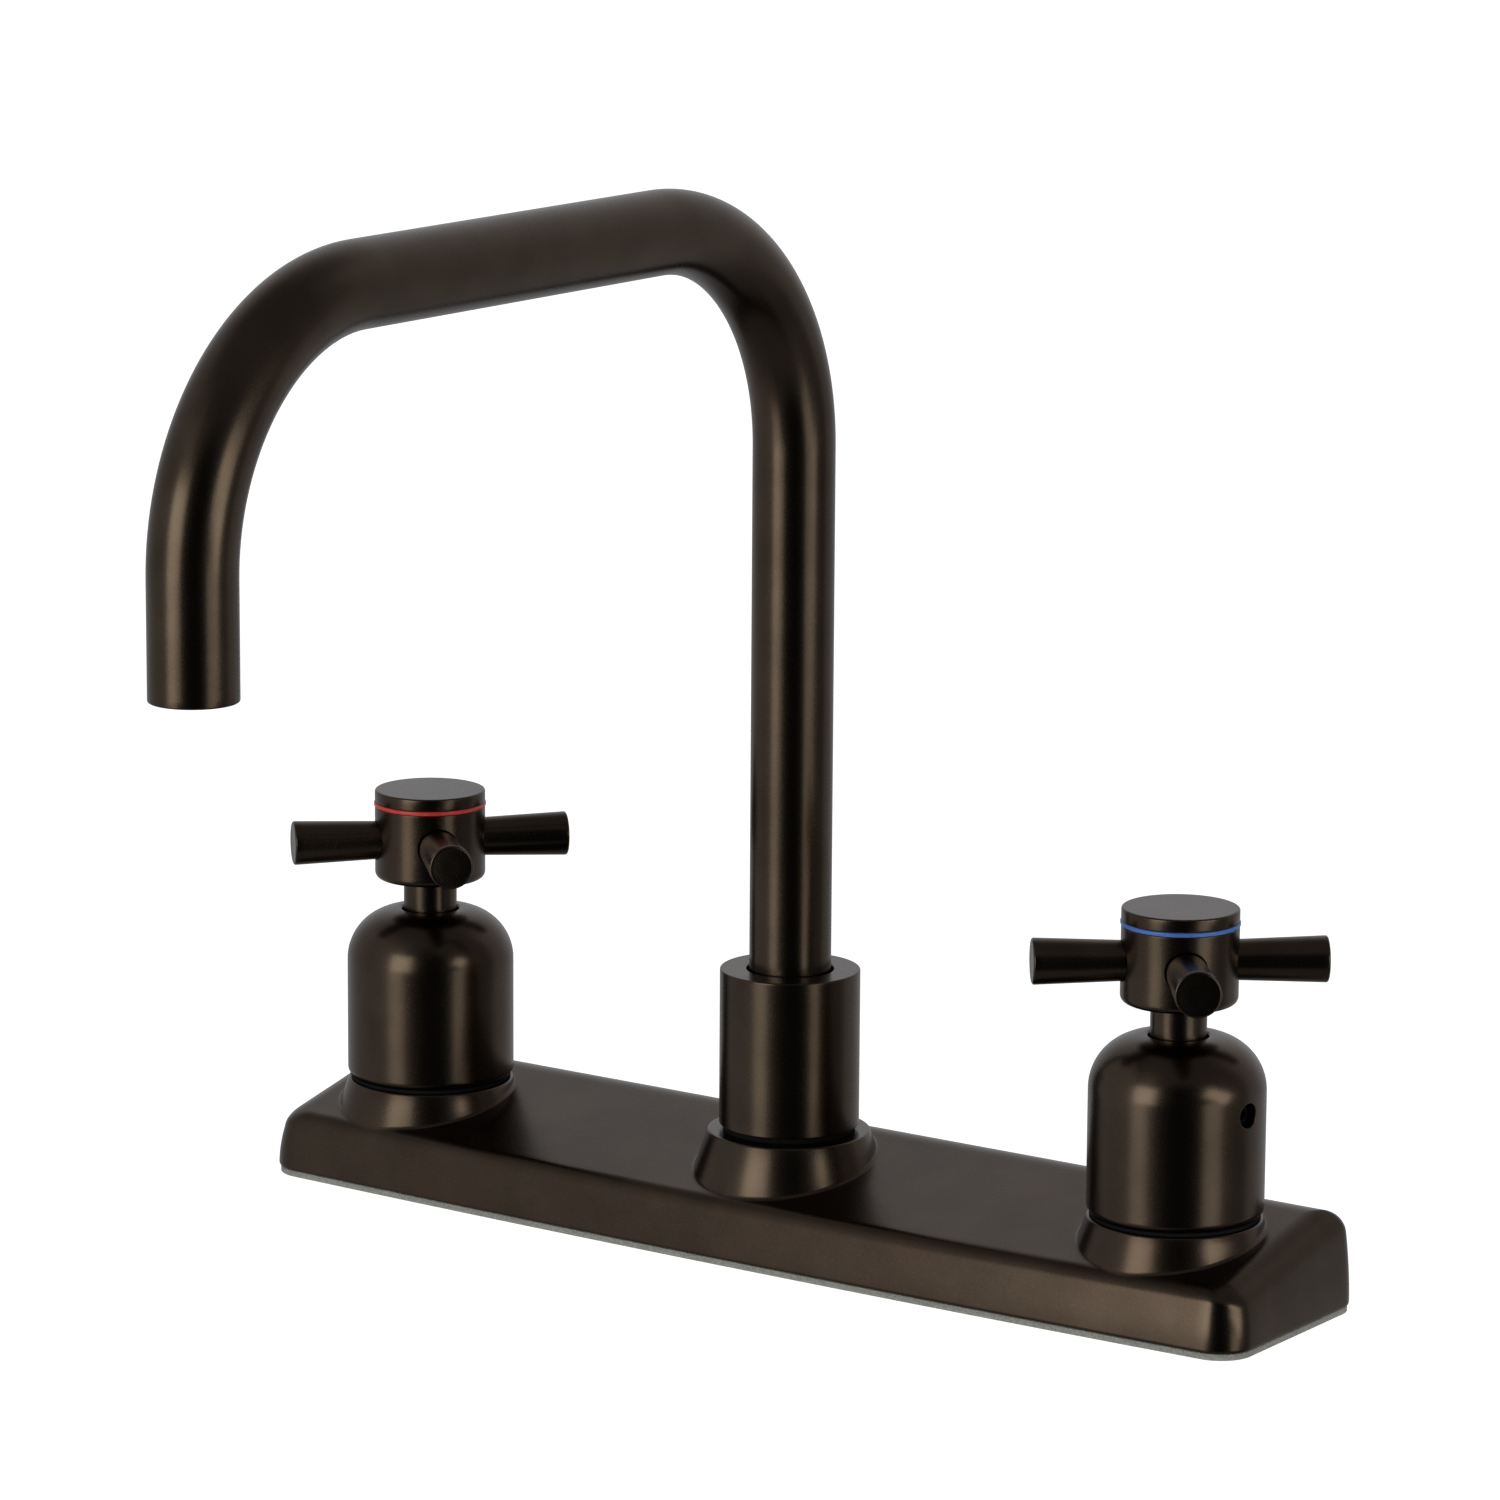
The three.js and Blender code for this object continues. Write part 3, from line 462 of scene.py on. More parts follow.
def rounded(corners: Profile, radii: Sequence[float], steps: int = 6, rest: float = 0.25 * MM) -> Array:
    """Closed outline with rounded corners.

    Each corner becomes the arc that touches its two sides: with half the corner's angle h,
    the arc starts radius / tan(h) from the corner and its centre is radius / sin(h) away on
    the bisector. One more point rests on each side next to an arc, to keep flats flat.

    Args:
        corners: the outline's corners, anticlockwise.
        radii: the radius at each corner, 0 for a sharp one.
        steps: parts of each arc.
        rest: how far past the arc the resting points lie.

    Returns:
        The outline's points, with the first one repeated at the end.
    """
    points = np.asarray(corners, float)
    radius = np.asarray(radii, float)[:, None]
    back = np.roll(points, 1, axis=0) - points
    ahead = np.roll(points, -1, axis=0) - points
    back_length = np.linalg.norm(back, axis=1, keepdims=True)
    ahead_length = np.linalg.norm(ahead, axis=1, keepdims=True)
    back, ahead = back / back_length, ahead / ahead_length
    half = 0.5 * np.arccos(np.clip((back * ahead).sum(axis=1, keepdims=True), -1, 1))
    touch = radius / np.tan(half)
    bisector = back + ahead
    bisector /= np.linalg.norm(bisector, axis=1, keepdims=True) + 1e-12
    centre = points + bisector * radius / np.sin(half)
    first, last = points + back * touch - centre, points + ahead * touch - centre
    turn = np.pi - 2 * half
    share = np.linspace(0, 1, steps + 1)[None, :, None]
    sweep = turn[:, :, None]
    weights = (np.sin((1 - share) * sweep), np.sin(share * sweep))
    arcs = centre[:, None] + (weights[0] * first[:, None] + weights[1] * last[:, None]) / np.sin(sweep)
    before = (points + back * (touch + rest))[:, None]
    after = (points + ahead * (touch + rest))[:, None]
    room_back = back_length > touch + np.roll(touch, 1, axis=0) + 2.5 * rest
    room_ahead = ahead_length > touch + np.roll(touch, -1, axis=0) + 2.5 * rest
    is_round = radius > 0
    keep = np.concatenate(
        [room_back & is_round, np.ones((len(points), steps + 1), bool), room_ahead & is_round], axis=1
    )
    path = np.concatenate([before, arcs, after], axis=1)[keep]
    path = np.concatenate([path, path[:1]])
    moves = np.linalg.norm(np.diff(path, axis=0), axis=1) > MERGE_DISTANCE
    return path[np.concatenate([[True], moves])]


def spin(profile: Array, angles: Array) -> Array:
    """Rows of a turned surface: the point (radius, z) at angle a is (radius cos a, radius sin a, z).

    Args:
        profile: (radius, z) points.
        angles: of the columns, in radians.

    Returns:
        The points, rows by columns by 3.
    """
    radius, height = profile[:, :1], profile[:, 1:]
    level = np.broadcast_to(height, (len(profile), len(angles)))
    return np.stack([radius * np.cos(angles), radius * np.sin(angles), level], axis=-1)


def ring_section(inner: float, outer: float, low: float, high: float) -> Profile:
    """Section of a plain ring, anticlockwise from its lower inner corner."""
    return [(inner, low), (outer, low), (outer, high), (inner, high)]


def full_turn(sides: int) -> Array:
    """Angles of a full circle, without the last, which is the first again."""
    return np.linspace(0, 2 * np.pi, sides, endpoint=False)


def turned_about(points: Array, angle: float) -> Array:
    """Points turned about the Z axis.

    Args:
        points: the points, with x, y and z along the last axis.
        angle: in radians.

    Returns:
        The turned points.
    """
    cosine, sine = math.cos(angle), math.sin(angle)
    turn = np.array([[cosine, sine, 0], [-sine, cosine, 0], [0, 0, 1]])
    return points @ turn


def bend(start: Array, corner: Array, end: Array, steps: int) -> Array:
    """Rows of a soft corner: the quadratic curve (1-t)^2 start + 2t(1-t) corner + t^2 end."""
    t = np.linspace(0, 1, steps + 1)[:, None, None]
    return (1 - t) ** 2 * start + 2 * t * (1 - t) * corner + t**2 * end


def between(start: Array, end: Array, steps: int) -> Array:
    """Rows evenly spaced from start to end, both included."""
    t = np.linspace(0, 1, steps + 1)[:, None, None]
    return (1 - t) * start + t * end


class Shell:
    """Sheets of quads gathered into one closed mesh."""

    def __init__(self) -> None:
        """Starts with no sheet."""
        self.points: list[Array] = []
        self.quads: list[Array] = []
        self.count = 0

    def add(self, points: Array, wrap: bool = True, flip: bool = False, keep: Array | None = None) -> None:
        """Adds a sheet.

        Args:
            points: its points, rows by columns by 3; a face looks along (column step) x (row step).
            wrap: the last column joins the first.
            flip: the faces look the other way.
            keep: for each quad, whether it is there.
        """
        rows, columns = points.shape[:2]
        index = self.count + np.arange(rows * columns).reshape(rows, columns)
        if wrap:
            index = np.concatenate([index, index[:, :1]], axis=1)
        quads = np.stack([index[:-1, :-1], index[:-1, 1:], index[1:, 1:], index[1:, :-1]], axis=-1)
        quads = quads.reshape(-1, 4) if keep is None else quads[keep]
        self.points.append(points.reshape(-1, 3))
        self.quads.append(quads[:, ::-1] if flip else quads)
        self.count += rows * columns

    def moved(self, turn: float = 0.0, shift: tuple[float, float, float] = (0, 0, 0)) -> Shell:
        """A copy turned about the Z axis, then moved.

        Args:
            turn: angle in radians.
            shift: how far it moves along X, Y and Z.

        Returns:
            The copy.
        """
        copy = Shell()
        copy.points = [turned_about(p, turn) + np.asarray(shift) for p in self.points]
        copy.quads, copy.count = self.quads, self.count
        return copy

    def laid_along_x(self, height: float) -> Shell:
        """A copy whose Z axis is laid along +X, at that height: (x, y, z) goes to (z, y, height - x).

        Args:
            height: z of the laid axis.

        Returns:
            The copy.
        """
        copy = Shell()
        copy.points = [np.stack([p[:, 2], p[:, 1], height - p[:, 0]], axis=1) for p in self.points]
        copy.quads, copy.count = self.quads, self.count
        return copy

    def mesh(self, name: str, crease: float = 38.0) -> bpy.types.Mesh:
        """Joins the sheets where they meet.

        Args:
            name: the mesh's name.
            crease: an edge sharper than this, in degrees, stays sharp in the shading.

        Returns:
            The mesh, with smooth shading.
        """
        mesh = bpy.data.meshes.new(name)
        mesh.from_pydata(np.concatenate(self.points).tolist(), [], np.concatenate(self.quads).tolist())
        work = bmesh.new()
        work.from_mesh(mesh)
        bmesh.ops.remove_doubles(work, verts=work.verts, dist=MERGE_DISTANCE)
        work.to_mesh(mesh)
        work.free()
        mesh.shade_smooth()
        mesh.set_sharp_from_angle(angle=math.radians(crease))
        return mesh


@dataclass(frozen=True)
class Drilling:
    """A round hole drilled into the wall of a turned piece, square to the axis.

    Attributes:
        angle: where it points, in radians.
        height: z of its axis.
        radius: its radius.
        floor: distance of its flat floor from the turning axis; None goes right through.
        rim: rounding of its mouth.
        margin: window of fitted quads round it, as a multiple of the radius.
    """

    angle: float
    height: float
    radius: float
    floor: float | None = None
    rim: float = 0.15 * MM
    margin: float = 1.3


@dataclass(frozen=True)
class Turned:
    """A turned piece, with round holes drilled into its wall.

    The wall is the rising stretch of the profile with the largest radius. Where a drilling
    meets it, the quads of a window are left out, and rings that change from the window's
    square to the hole's circle take their place: each lies at (y, z) between the two and at
    x = sqrt(r(z)^2 - y^2) on the wall.

    Attributes:
        profile: closed outline of (radius, z) points, anticlockwise.
        drillings: the holes, all of one size and height.
        sides: columns round the piece.
    """

    profile: Array
    drillings: tuple[Drilling, ...] = ()
    sides: int = 112
    cells: int = 12

    def _angles(self) -> tuple[Array, list[int]]:
        """Angles of the columns, and the column where each drilling's window starts.

        Returns:
            The angles in radians, and the first column of each window.
        """
        if not self.drillings:
            return full_turn(self.sides), []
        starts, angles = [], []
        half = self._half_angle()
        holes = sorted(self.drillings, key=lambda hole: hole.angle)
        for hole, following in zip(holes, [*holes[1:], holes[0]], strict=True):
            gap = (following.angle - hole.angle) % (2 * math.pi) or 2 * math.pi
            gap -= 2 * half
            steps = max(2, round(gap / (2 * math.pi) * self.sides))
            starts.append(len(angles))
            angles.extend(hole.angle - half + 2 * half * np.arange(self.cells) / self.cells)
            angles.extend(hole.angle + half + gap * np.arange(steps) / steps)
        return np.array(angles), starts

    def _half_angle(self) -> float:
        """Half the angle that a window takes."""
        hole = self.drillings[0]
        return math.asin(min(0.95, hole.radius * hole.margin / self._wall_radius()))

    def _wall_radius(self) -> float:
        """Radius of the wall at the drillings' height."""
        return float(self._wall_at(np.array([self.drillings[0].height]), outer=True)[0])

    def _stretch(self, outer: bool) -> slice:
        """The rising (outer) or falling (inner) stretch of the profile round the drillings' height.

        Args:
            outer: the outer wall, else the inner one.

        Returns:
            The stretch, as a slice of the profile.
        """
        heights = self.profile[:, 1]
        level = self.drillings[0].height
        crossing = np.nonzero((heights[:-1] - level) * (heights[1:] - level) <= 0)[0]
        rising = heights[crossing + 1] > heights[crossing]
        up = crossing[rising]
        at = up[np.argmax(self.profile[up, 0])] if outer else crossing[~rising][-1]
        sign = 1 if outer else -1
        steps = np.sign(np.diff(heights)) * sign > 0
        low, high = at, at + 1
        while low > 0 and steps[low - 1]:
            low -= 1
        while high < len(steps) and steps[high]:
            high += 1
        return slice(low, high + 1)

    def _wall_at(self, heights: Array, outer: bool) -> Array:
        """Radius of the outer or inner wall at some heights, by interpolation.

        Args:
            heights: z of the wanted points.
            outer: the outer wall, else the inner one.

        Returns:
            The radii.
        """
        wall = self.profile[self._stretch(outer)]
        wall = wall if outer else wall[::-1]
        return np.interp(heights, wall[:, 1], wall[:, 0])

    def _with_rows(self, profile: Array, outer: bool) -> tuple[Array, int]:
        """The profile with a window's rows put into its wall, and the first of those rows.

        Args:
            profile: the profile so far.
            outer: the outer wall, else the inner one.

        Returns:
            The new profile, and the place of the window's first row in it.
        """
        hole = self.drillings[0]
        half = hole.radius * hole.margin
        levels = hole.height + np.linspace(-half, half, self.cells + 1)
        levels = levels if outer else levels[::-1]
        rows = np.stack([self._wall_at(levels, outer), levels], axis=1)
        near = np.abs(profile[:, 1] - hole.height) < half * 1.001
        at_wall = np.abs(profile[:, 0] - self._wall_at(profile[:, 1], outer)) < 0.02 * MM
        replaced = np.nonzero(near & at_wall)[0]
        if len(replaced):
            first, last = replaced[0], replaced[-1] + 1
        else:
            heights = profile[:, 1]
            step = (heights[:-1] - hole.height) * (heights[1:] - hole.height) <= 0
            step &= at_wall[:-1] & at_wall[1:]
            first = last = int(np.nonzero(step)[0][0]) + 1
        return np.concatenate([profile[:first], rows, profile[last:]]), first

    def _hole_rows(self, hole: Drilling) -> Array:
        """Rings of one drilling from its window to its floor, or to the inner wall's window.

        Args:
            hole: the drilling.

        Returns:
            The rings' points, rows by columns by 3.
        """
        half, spread = hole.radius * hole.margin, self._half_angle()
        side = np.linspace(-1, 1, self.cells + 1)[:-1]
        one = np.ones(self.cells)
        across = np.concatenate([side, one, -side, -one]) * spread
        up = np.concatenate([-one, side, one, -side]) * half

        def square(outer: bool) -> tuple[Array, Array, Array]:
            """The window's points on a wall: (y, z - height, wall radius)."""
            reach = self._wall_at(hole.height + up, outer)
            return reach * np.sin(across), up, reach

        def on_wall(y: Array, z: Array, outer: bool) -> Array:
            """Points of a wall at (y, z) seen along the hole."""
            reach = self._wall_at(hole.height + z, outer)
            return np.stack([np.sqrt(reach**2 - y**2), y, z], axis=-1)

        y, z, _ = square(outer=True)
        turn = np.arctan2(z, y)
        mouth = hole.radius + hole.rim
        circle = np.stack([np.cos(turn), np.sin(turn)])
        share = np.linspace(0, 1, 7)[:, None]
        to_mouth = (circle * mouth - (y, z))[:, None] * share
        rings = on_wall(y + to_mouth[0], z + to_mouth[1], outer=True)
        tilt = np.radians(np.linspace(0, 90, 6))[1:, None]
        radius = mouth - hole.rim * np.sin(tilt)
        lip = on_wall(circle[0] * radius, circle[1] * radius, outer=True)
        lip[..., 0] -= hole.rim * (1 - np.cos(tilt))
        if hole.floor is not None:
            floor = lip[-1].copy()
            floor[:, 0] = hole.floor
            centre = np.zeros_like(floor) + (hole.floor, 0, 0)
            tunnel = between(lip[-1], floor, 6)[1:]
            rows = [rings, lip, tunnel, between(floor, centre, 3)[1:]]
        else:
            y_in, z_in, _ = square(outer=False)
            bore = circle * hole.radius
            to_square = ((y_in, z_in) - bore)[:, None] * share
            inner = on_wall(bore[0] + to_square[0], bore[1] + to_square[1], outer=False)
            rows = [rings, lip, between(lip[-1], inner[0], 4)[1:], inner[1:]]
        rows = np.concatenate(rows)
        rows[..., 2] += hole.height
        return turned_about(rows, hole.angle)

    def shell(self) -> Shell:
        """Builds the whole piece.

        Returns:
            Its closed shell, with the turning axis on Z.
        """
        angles, starts = self._angles()
        profile, windows = self.profile, []
        if self.drillings:
            profile, first = self._with_rows(profile, outer=True)
            windows.append(first)
            if self.drillings[0].floor is None:
                profile, first = self._with_rows(profile, outer=False)
                windows.append(first)
        keep = np.ones((len(profile) - 1, len(angles)), bool)
        for first in windows:
            for start in starts:
                keep[first : first + self.cells, start : start + self.cells] = False
        made = Shell()
        made.add(spin(profile, angles), keep=keep)
        for hole in self.drillings:
            made.add(self._hole_rows(hole))
        return made


# ---------------------------------------------------------------- placing pieces


class Workshop:
    """Turns shells into pieces of the object, and dresses the CAD nodes that stay."""

    def __init__(self) -> None:
        """Reads from the record which body and which material slot each node has."""
        record = frame["record"]
        self.body = {n: body for body, nodes in record["behaviour"]["bodies"].items() for n in nodes}
        self.slot = {part["node"]: Slot(part["material_slot"]) for part in record["subparts"]}
        self.materials: dict[Finish, bpy.types.Material] = {}
        self.replaced: set[str] = set()

    def material(self, finish: Finish) -> bpy.types.Material:
        """The Blender material of a finish, made once.

        Args:
            finish: the finish.

        Returns:
            Its material.
        """
        if finish not in self.materials:
            self.materials[finish] = finish.material()
        return self.materials[finish]

    def fit(self, shell: Shell, node: str, finish: Finish | None = None, crease: float = 38.0) -> None:
        """Makes the piece that stands for a CAD node.

        Args:
            shell: the piece's surface, in its place.
            node: the CAD node.
            finish: its finish; None takes the one of the node's slot.
            crease: sharpest smooth edge, in degrees.
        """
        finish = finish or SLOT_FINISH[self.slot[node]]
        piece = bpy.data.objects.new(f"fine_{node}", shell.mesh(f"fine_{node}", crease))
        bpy.context.scene.collection.objects.link(piece)
        piece.data.materials.append(self.material(finish))
        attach(piece, self.body[node])
        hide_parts(node)
        self.replaced.add(node)
        self._report(piece, node)

    @staticmethod
    def _report(piece: bpy.types.Object, node: str) -> None:
        """Logs a piece's size and how far its box is from its node's, in millimetres.

        Args:
            piece: the finished piece.
            node: the CAD node it stands for.
        """
        corners = np.array([v.co for v in piece.data.vertices])
        low, high = (np.array(corner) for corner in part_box(node))
        apart = np.concatenate([corners.min(0) - low, corners.max(0) - high]) / MM
        log.info("%s: %d faces, box off by %s mm", piece.name, len(piece.data.polygons), np.round(apart, 2))

    def dress_the_rest(self) -> None:
        """Gives every CAD node that still shows the finish of its slot."""
        for name, node in frame["nodes"].items():
            if name in self.replaced:
                continue
            node.data.materials.clear()
            node.data.materials.append(self.material(SLOT_FINISH[self.slot[name]]))
            log.info("%s keeps its CAD mesh", name)


def levels(node: str) -> tuple[float, float]:
    """Lowest and highest z of a CAD node."""
    low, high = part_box(node)
    return low.z, high.z


# ---------------------------------------------------------------- deck plate


@dataclass
class PlateOutline:
    """The deck plate seen from above, and how its upper edge is rounded.

    Attributes:
        length: along X.
        front: spout axis to the front edge, at the ends.
        bow: how much further the front edge stands out in the middle.
        back: spout axis to the back edge.
        front_corner: radius of the front corners.
        back_corner: radius of the back corners.
        smallest_corner: least radius of a corner when the outline shrinks.
        even_part: the front and back columns keep their x up to here.
        even_steps: columns in that part.
        stretch_steps: columns between it and a corner.
        corner_steps: columns round a corner.
        end_steps: columns along an end.
    """

    length: float = 263 * MM
    front: float = 24.6 * MM
    bow: float = 2.25 * MM
    back: float = 28.8 * MM
    front_corner: float = 8 * MM
    back_corner: float = 6 * MM
    smallest_corner: float = 1 * MM
    even_part: float = 114.3 * MM
    even_steps: int = 144
    stretch_steps: int = 5
    corner_steps: int = 12
    end_steps: int = 14

    def __post_init__(self) -> None:
        """Works out, for each column, its share of the end and whether it is at the back."""
        straight = np.zeros(self.even_steps + 2 * self.stretch_steps + 1)
        turn = np.linspace(0, np.pi / 2, self.corner_steps + 1)[1:-1]
        end = np.ones(self.end_steps + 1)
        half = np.concatenate([straight, np.sin(turn) ** 2, end, np.cos(turn) ** 2])
        in_front, in_back = np.zeros(len(straight) + len(turn)), np.ones(len(turn))
        at_back = np.concatenate([in_front, np.linspace(0, 1, len(end)), in_back])
        self.end_share = np.tile(half, 2)
        self.at_back = np.concatenate([at_back, 1 - at_back])
        self.half_count = len(half)

    def column(self, x: float, back: bool) -> int:
        """Number of the front or back column at x, one of the evenly spaced ones.

        Args:
            x: where the column is.
            back: on the back edge, else on the front one.

        Returns:
            The column's number.
        """
        step = 2 * self.even_part / self.even_steps
        along = self.stretch_steps + round((x + self.even_part) / step)
        straight = self.even_steps + 2 * self.stretch_steps
        return self.half_count + straight - along if back else along

    def points(self, end_inset: float, front_inset: float, back_inset: float) -> Array:
        """The outline pulled in from the ends, the front and the back.

        The front edge is y = -(front - inset) - bow (1 - (x / half length)^2), which the
        front corners take over by (1 - end share); the other edges are straight.

        Args:
            end_inset: how far the ends are pulled in.
            front_inset: how far the front is.
            back_inset: how far the back is.

        Returns:
            The columns' (x, y), anticlockwise from the left end of the front edge.
        """
        half_length = self.length / 2 - end_inset
        front, back = -self.front + front_inset, self.back - back_inset
        corners = (
            max(self.front_corner - min(end_inset, front_inset), self.smallest_corner),
            max(self.back_corner - min(end_inset, back_inset), self.smallest_corner),
        )
        turn = np.linspace(0, np.pi / 2, self.corner_steps + 1)[1:-1]
        rise = np.linspace(front + corners[0], back - corners[1], self.end_steps + 1)

        def straight(corner: float) -> Array:
            """x of the columns of a long edge, left to right.

            Args:
                corner: radius of the corners at its ends.

            Returns:
                The columns' x.
            """
            reach = half_length - corner
            side = np.linspace(self.even_part, reach, self.stretch_steps + 1)[1:]
            middle = np.linspace(-self.even_part, self.even_part, self.even_steps + 1)
            return np.concatenate([-side[::-1], middle, side])

        def right_half() -> tuple[Array, Array]:
            """Front edge and right end, without the bow.

            Returns:
                The columns' x and y.
            """
            x = np.concatenate([
                straight(corners[0]),
                half_length - corners[0] * (1 - np.sin(turn)),
                np.full(self.end_steps + 1, half_length),
                half_length - corners[1] * (1 - np.cos(turn)),
            ])
            y = np.concatenate([
                np.full(self.even_steps + 2 * self.stretch_steps + 1, front),
                front + corners[0] * (1 - np.cos(turn)),
                rise,
                back - corners[1] * (1 - np.sin(turn)),
            ])
            return x, y

        def left_half() -> tuple[Array, Array]:
            """Back edge and left end.

            Returns:
                The columns' x and y.
            """
            x = np.concatenate([
                -straight(corners[1]),
                -half_length + corners[1] * (1 - np.sin(turn)),
                np.full(self.end_steps + 1, -half_length),
                -half_length + corners[0] * (1 - np.cos(turn)),
            ])
            y = np.concatenate([
                np.full(self.even_steps + 2 * self.stretch_steps + 1, back),
                back - corners[1] * (1 - np.cos(turn)),
                rise[::-1],
                front + corners[0] * (1 - np.sin(turn)),
            ])
            return x, y

        x, y = (np.concatenate(halves) for halves in zip(right_half(), left_half(), strict=True))
        in_front = self.at_back == 0
        y = y - np.where(in_front, self.bow * (1 - (x / half_length) ** 2) * (1 - self.end_share), 0)
        return np.stack([x, y], axis=1)


@dataclass
class BossForm:
    """One flared boss of the plate.

    Attributes:
        x: its axis.
        radius: of its flat top.
        top: z of its flat top.
        hole: radius of the hole through it.
    """

    x: float
    radius: float
    top: float
    hole: float


@dataclass
class PlateSkin:
    """One skin of the plate, the outside or the cavity's wall.

    The top face is z = height + slope * y. Its rounded upper edge drops by R (1 - sin t)
    while the outline moves in by R (1 - cos t), for t from the wall's tilt to 90 degrees at
    the top face. Each boss is the cone round its axis, and the column lines run from its
    hole over its top and its flare, and on across the top face.

    Attributes:
        outline: the plate seen from above.
        bosses: the three bosses, left to right.
        inset: how far this skin is inside the outside.
        height: z of the top face at the spout's axis.
        slope: rise of the top face per unit of y.
        flare: how much a boss widens per unit of depth.
        fillets: radius of the upper edge at the front, the ends and the back.
        lean: how far the walls lean in.
        bottom: z of the lower edge.
        edge: rounding of a boss's upper edge.
        foot: length of the soft corner at a boss's foot.
        wall_tilt: lean of the wall where the rounded edge begins, in degrees.
        front_crown: how much further in the front wall's top is than a straight wall's.
        fillet_steps: rows over the rounded edge.
        rim: ring of a boss's top inside its rounded edge that takes the last row.
        edge_share: most of a boss's flare that its rounded edge may take.
        foot_share: most of it that its soft foot may take.
        border_share: least way from a boss's foot to the wall where its region ends.
        row_growth: how much wider the rows get away from a boss.
        wall_steps: rows down the wall.
    """

    outline: PlateOutline
    bosses: tuple[BossForm, ...]
    inset: float
    height: float
    slope: float
    flare: float
    fillets: tuple[float, float, float]
    lean: float
    bottom: float
    edge: float = 0.4 * MM
    foot: float = 0.8 * MM
    wall_tilt: float = 10.0
    front_crown: float = 0.5 * MM
    fillet_steps: int = 24
    rim: float = 0.4 * MM
    edge_share: float = 0.4
    foot_share: float = 0.45
    border_share: float = 0.2
    row_growth: float = 1.2
    wall_steps: int = 10

    def edge_path(self) -> Array:
        """The rounded upper edge of every column, from the top face down to the wall.

        Returns:
            The points, rows by outline columns by 3.
        """
        front, end, back = self.fillets
        side = np.where(self.outline.at_back > 0.5, back, front)
        radius = side + (end - side) * self.outline.end_share
        rows = []
        for turn in np.radians(np.linspace(90, self.wall_tilt, self.fillet_steps + 1)):
            over = 1 - math.cos(turn)
            inward = [self.inset + self.lean + r * over for r in (end, front, back)]
            inward[1] += self.front_crown
            flat = self.outline.points(*inward)
            z = self.height + self.slope * flat[:, 1] - radius * (1 - math.sin(turn))
            rows.append(np.column_stack([flat, z]))
        return np.array(rows)

    def divider(self, x: float, count: int) -> Array:
        """Points of the top face on the line at x between two bosses, front to back.

        Args:
            x: where the line is.
            count: how many points it has.

        Returns:
            The points.
        """
        path = self.edge_path()[0]
        low = path[self.outline.column(x, back=False), 1]
        high = path[self.outline.column(x, back=True), 1]
        y = np.linspace(low, high, count + 2)[1:-1]
        return np.column_stack([np.full(count, x), y, self.height + self.slope * y])

    def region(
        self, boss: BossForm, columns: Array, lines: Sequence[tuple[int, Array]], rows: int
    ) -> tuple[Array, Array]:
        """The top of the plate round one boss.

        Args:
            boss: the boss in its middle.
            columns: numbers of the outline columns round it, in order.
            lines: dividing lines, each with the place in columns after which it comes.
            rows: rows between the boss's foot and the region's border.

        Returns:
            The rows of points from the boss's hole to the border, and for each outline column
            the place on its edge path where the border is.
        """
        edge = self.edge_path()[:, columns]
        steps = len(edge)
        for place, line in sorted(lines, key=lambda item: -item[0]):
            still = np.broadcast_to(line, (steps, *line.shape))
            edge = np.concatenate([edge[:, :place], still, edge[:, place:]], axis=1)
        axis = np.array([boss.x, 0, self.height])
        path = np.concatenate([np.broadcast_to(axis, (1, *edge.shape[1:])), edge])
        moves = np.linalg.norm(np.diff(path, axis=0), axis=2)
        along = np.concatenate([np.zeros((1, path.shape[1])), np.cumsum(moves, axis=0)])

        def at(distance: Array) -> Array:
            """Points of the paths at given distances: rows by columns.

            Args:
                distance: how far along its path each point is.

            Returns:
                The points, rows by columns by 3.
            """
            low = (along[None, 1:-1] <= distance[:, None]).sum(axis=1)
            pick = np.arange(path.shape[1])
            span = np.maximum(along[low + 1, pick] - along[low, pick], 1e-9)
            share = ((distance - along[low, pick]) / span)[..., None]
            return path[low, pick] * (1 - share) + path[low + 1, pick] * share

        def crossing(level: Array) -> Array:
            """Distance along each path where a function of its points goes above zero.

            Args:
                level: the function's value at each point of each path.

            Returns:
                The distance for each path.
            """
            first = np.argmax(level > 0, axis=0)
            first = np.maximum(first, 1)
            pick = np.arange(path.shape[1])
            low, high = level[first - 1, pick], level[first, pick]
            share = -low / np.where(high - low == 0, 1, high - low)
            return along[first - 1, pick] + share * (along[first, pick] - along[first - 1, pick])

        reach = np.hypot(path[..., 0] - boss.x, path[..., 1])
        cone = boss.top - (reach - boss.radius) / self.flare
        foot_at = np.maximum(crossing(path[..., 2] - cone), crossing(reach - boss.radius))
        foot = at(foot_at[None])[0]
        out = foot[:, :2] - (boss.x, 0)
        out = out / np.linalg.norm(out, axis=1, keepdims=True)

        def flat(radius: float | Array) -> Array:
            """Points of the boss's flat top at a radius."""
            around = out * np.reshape(radius, (-1, 1)) + (boss.x, 0)
            return np.column_stack([around, np.full(len(out), boss.top)])

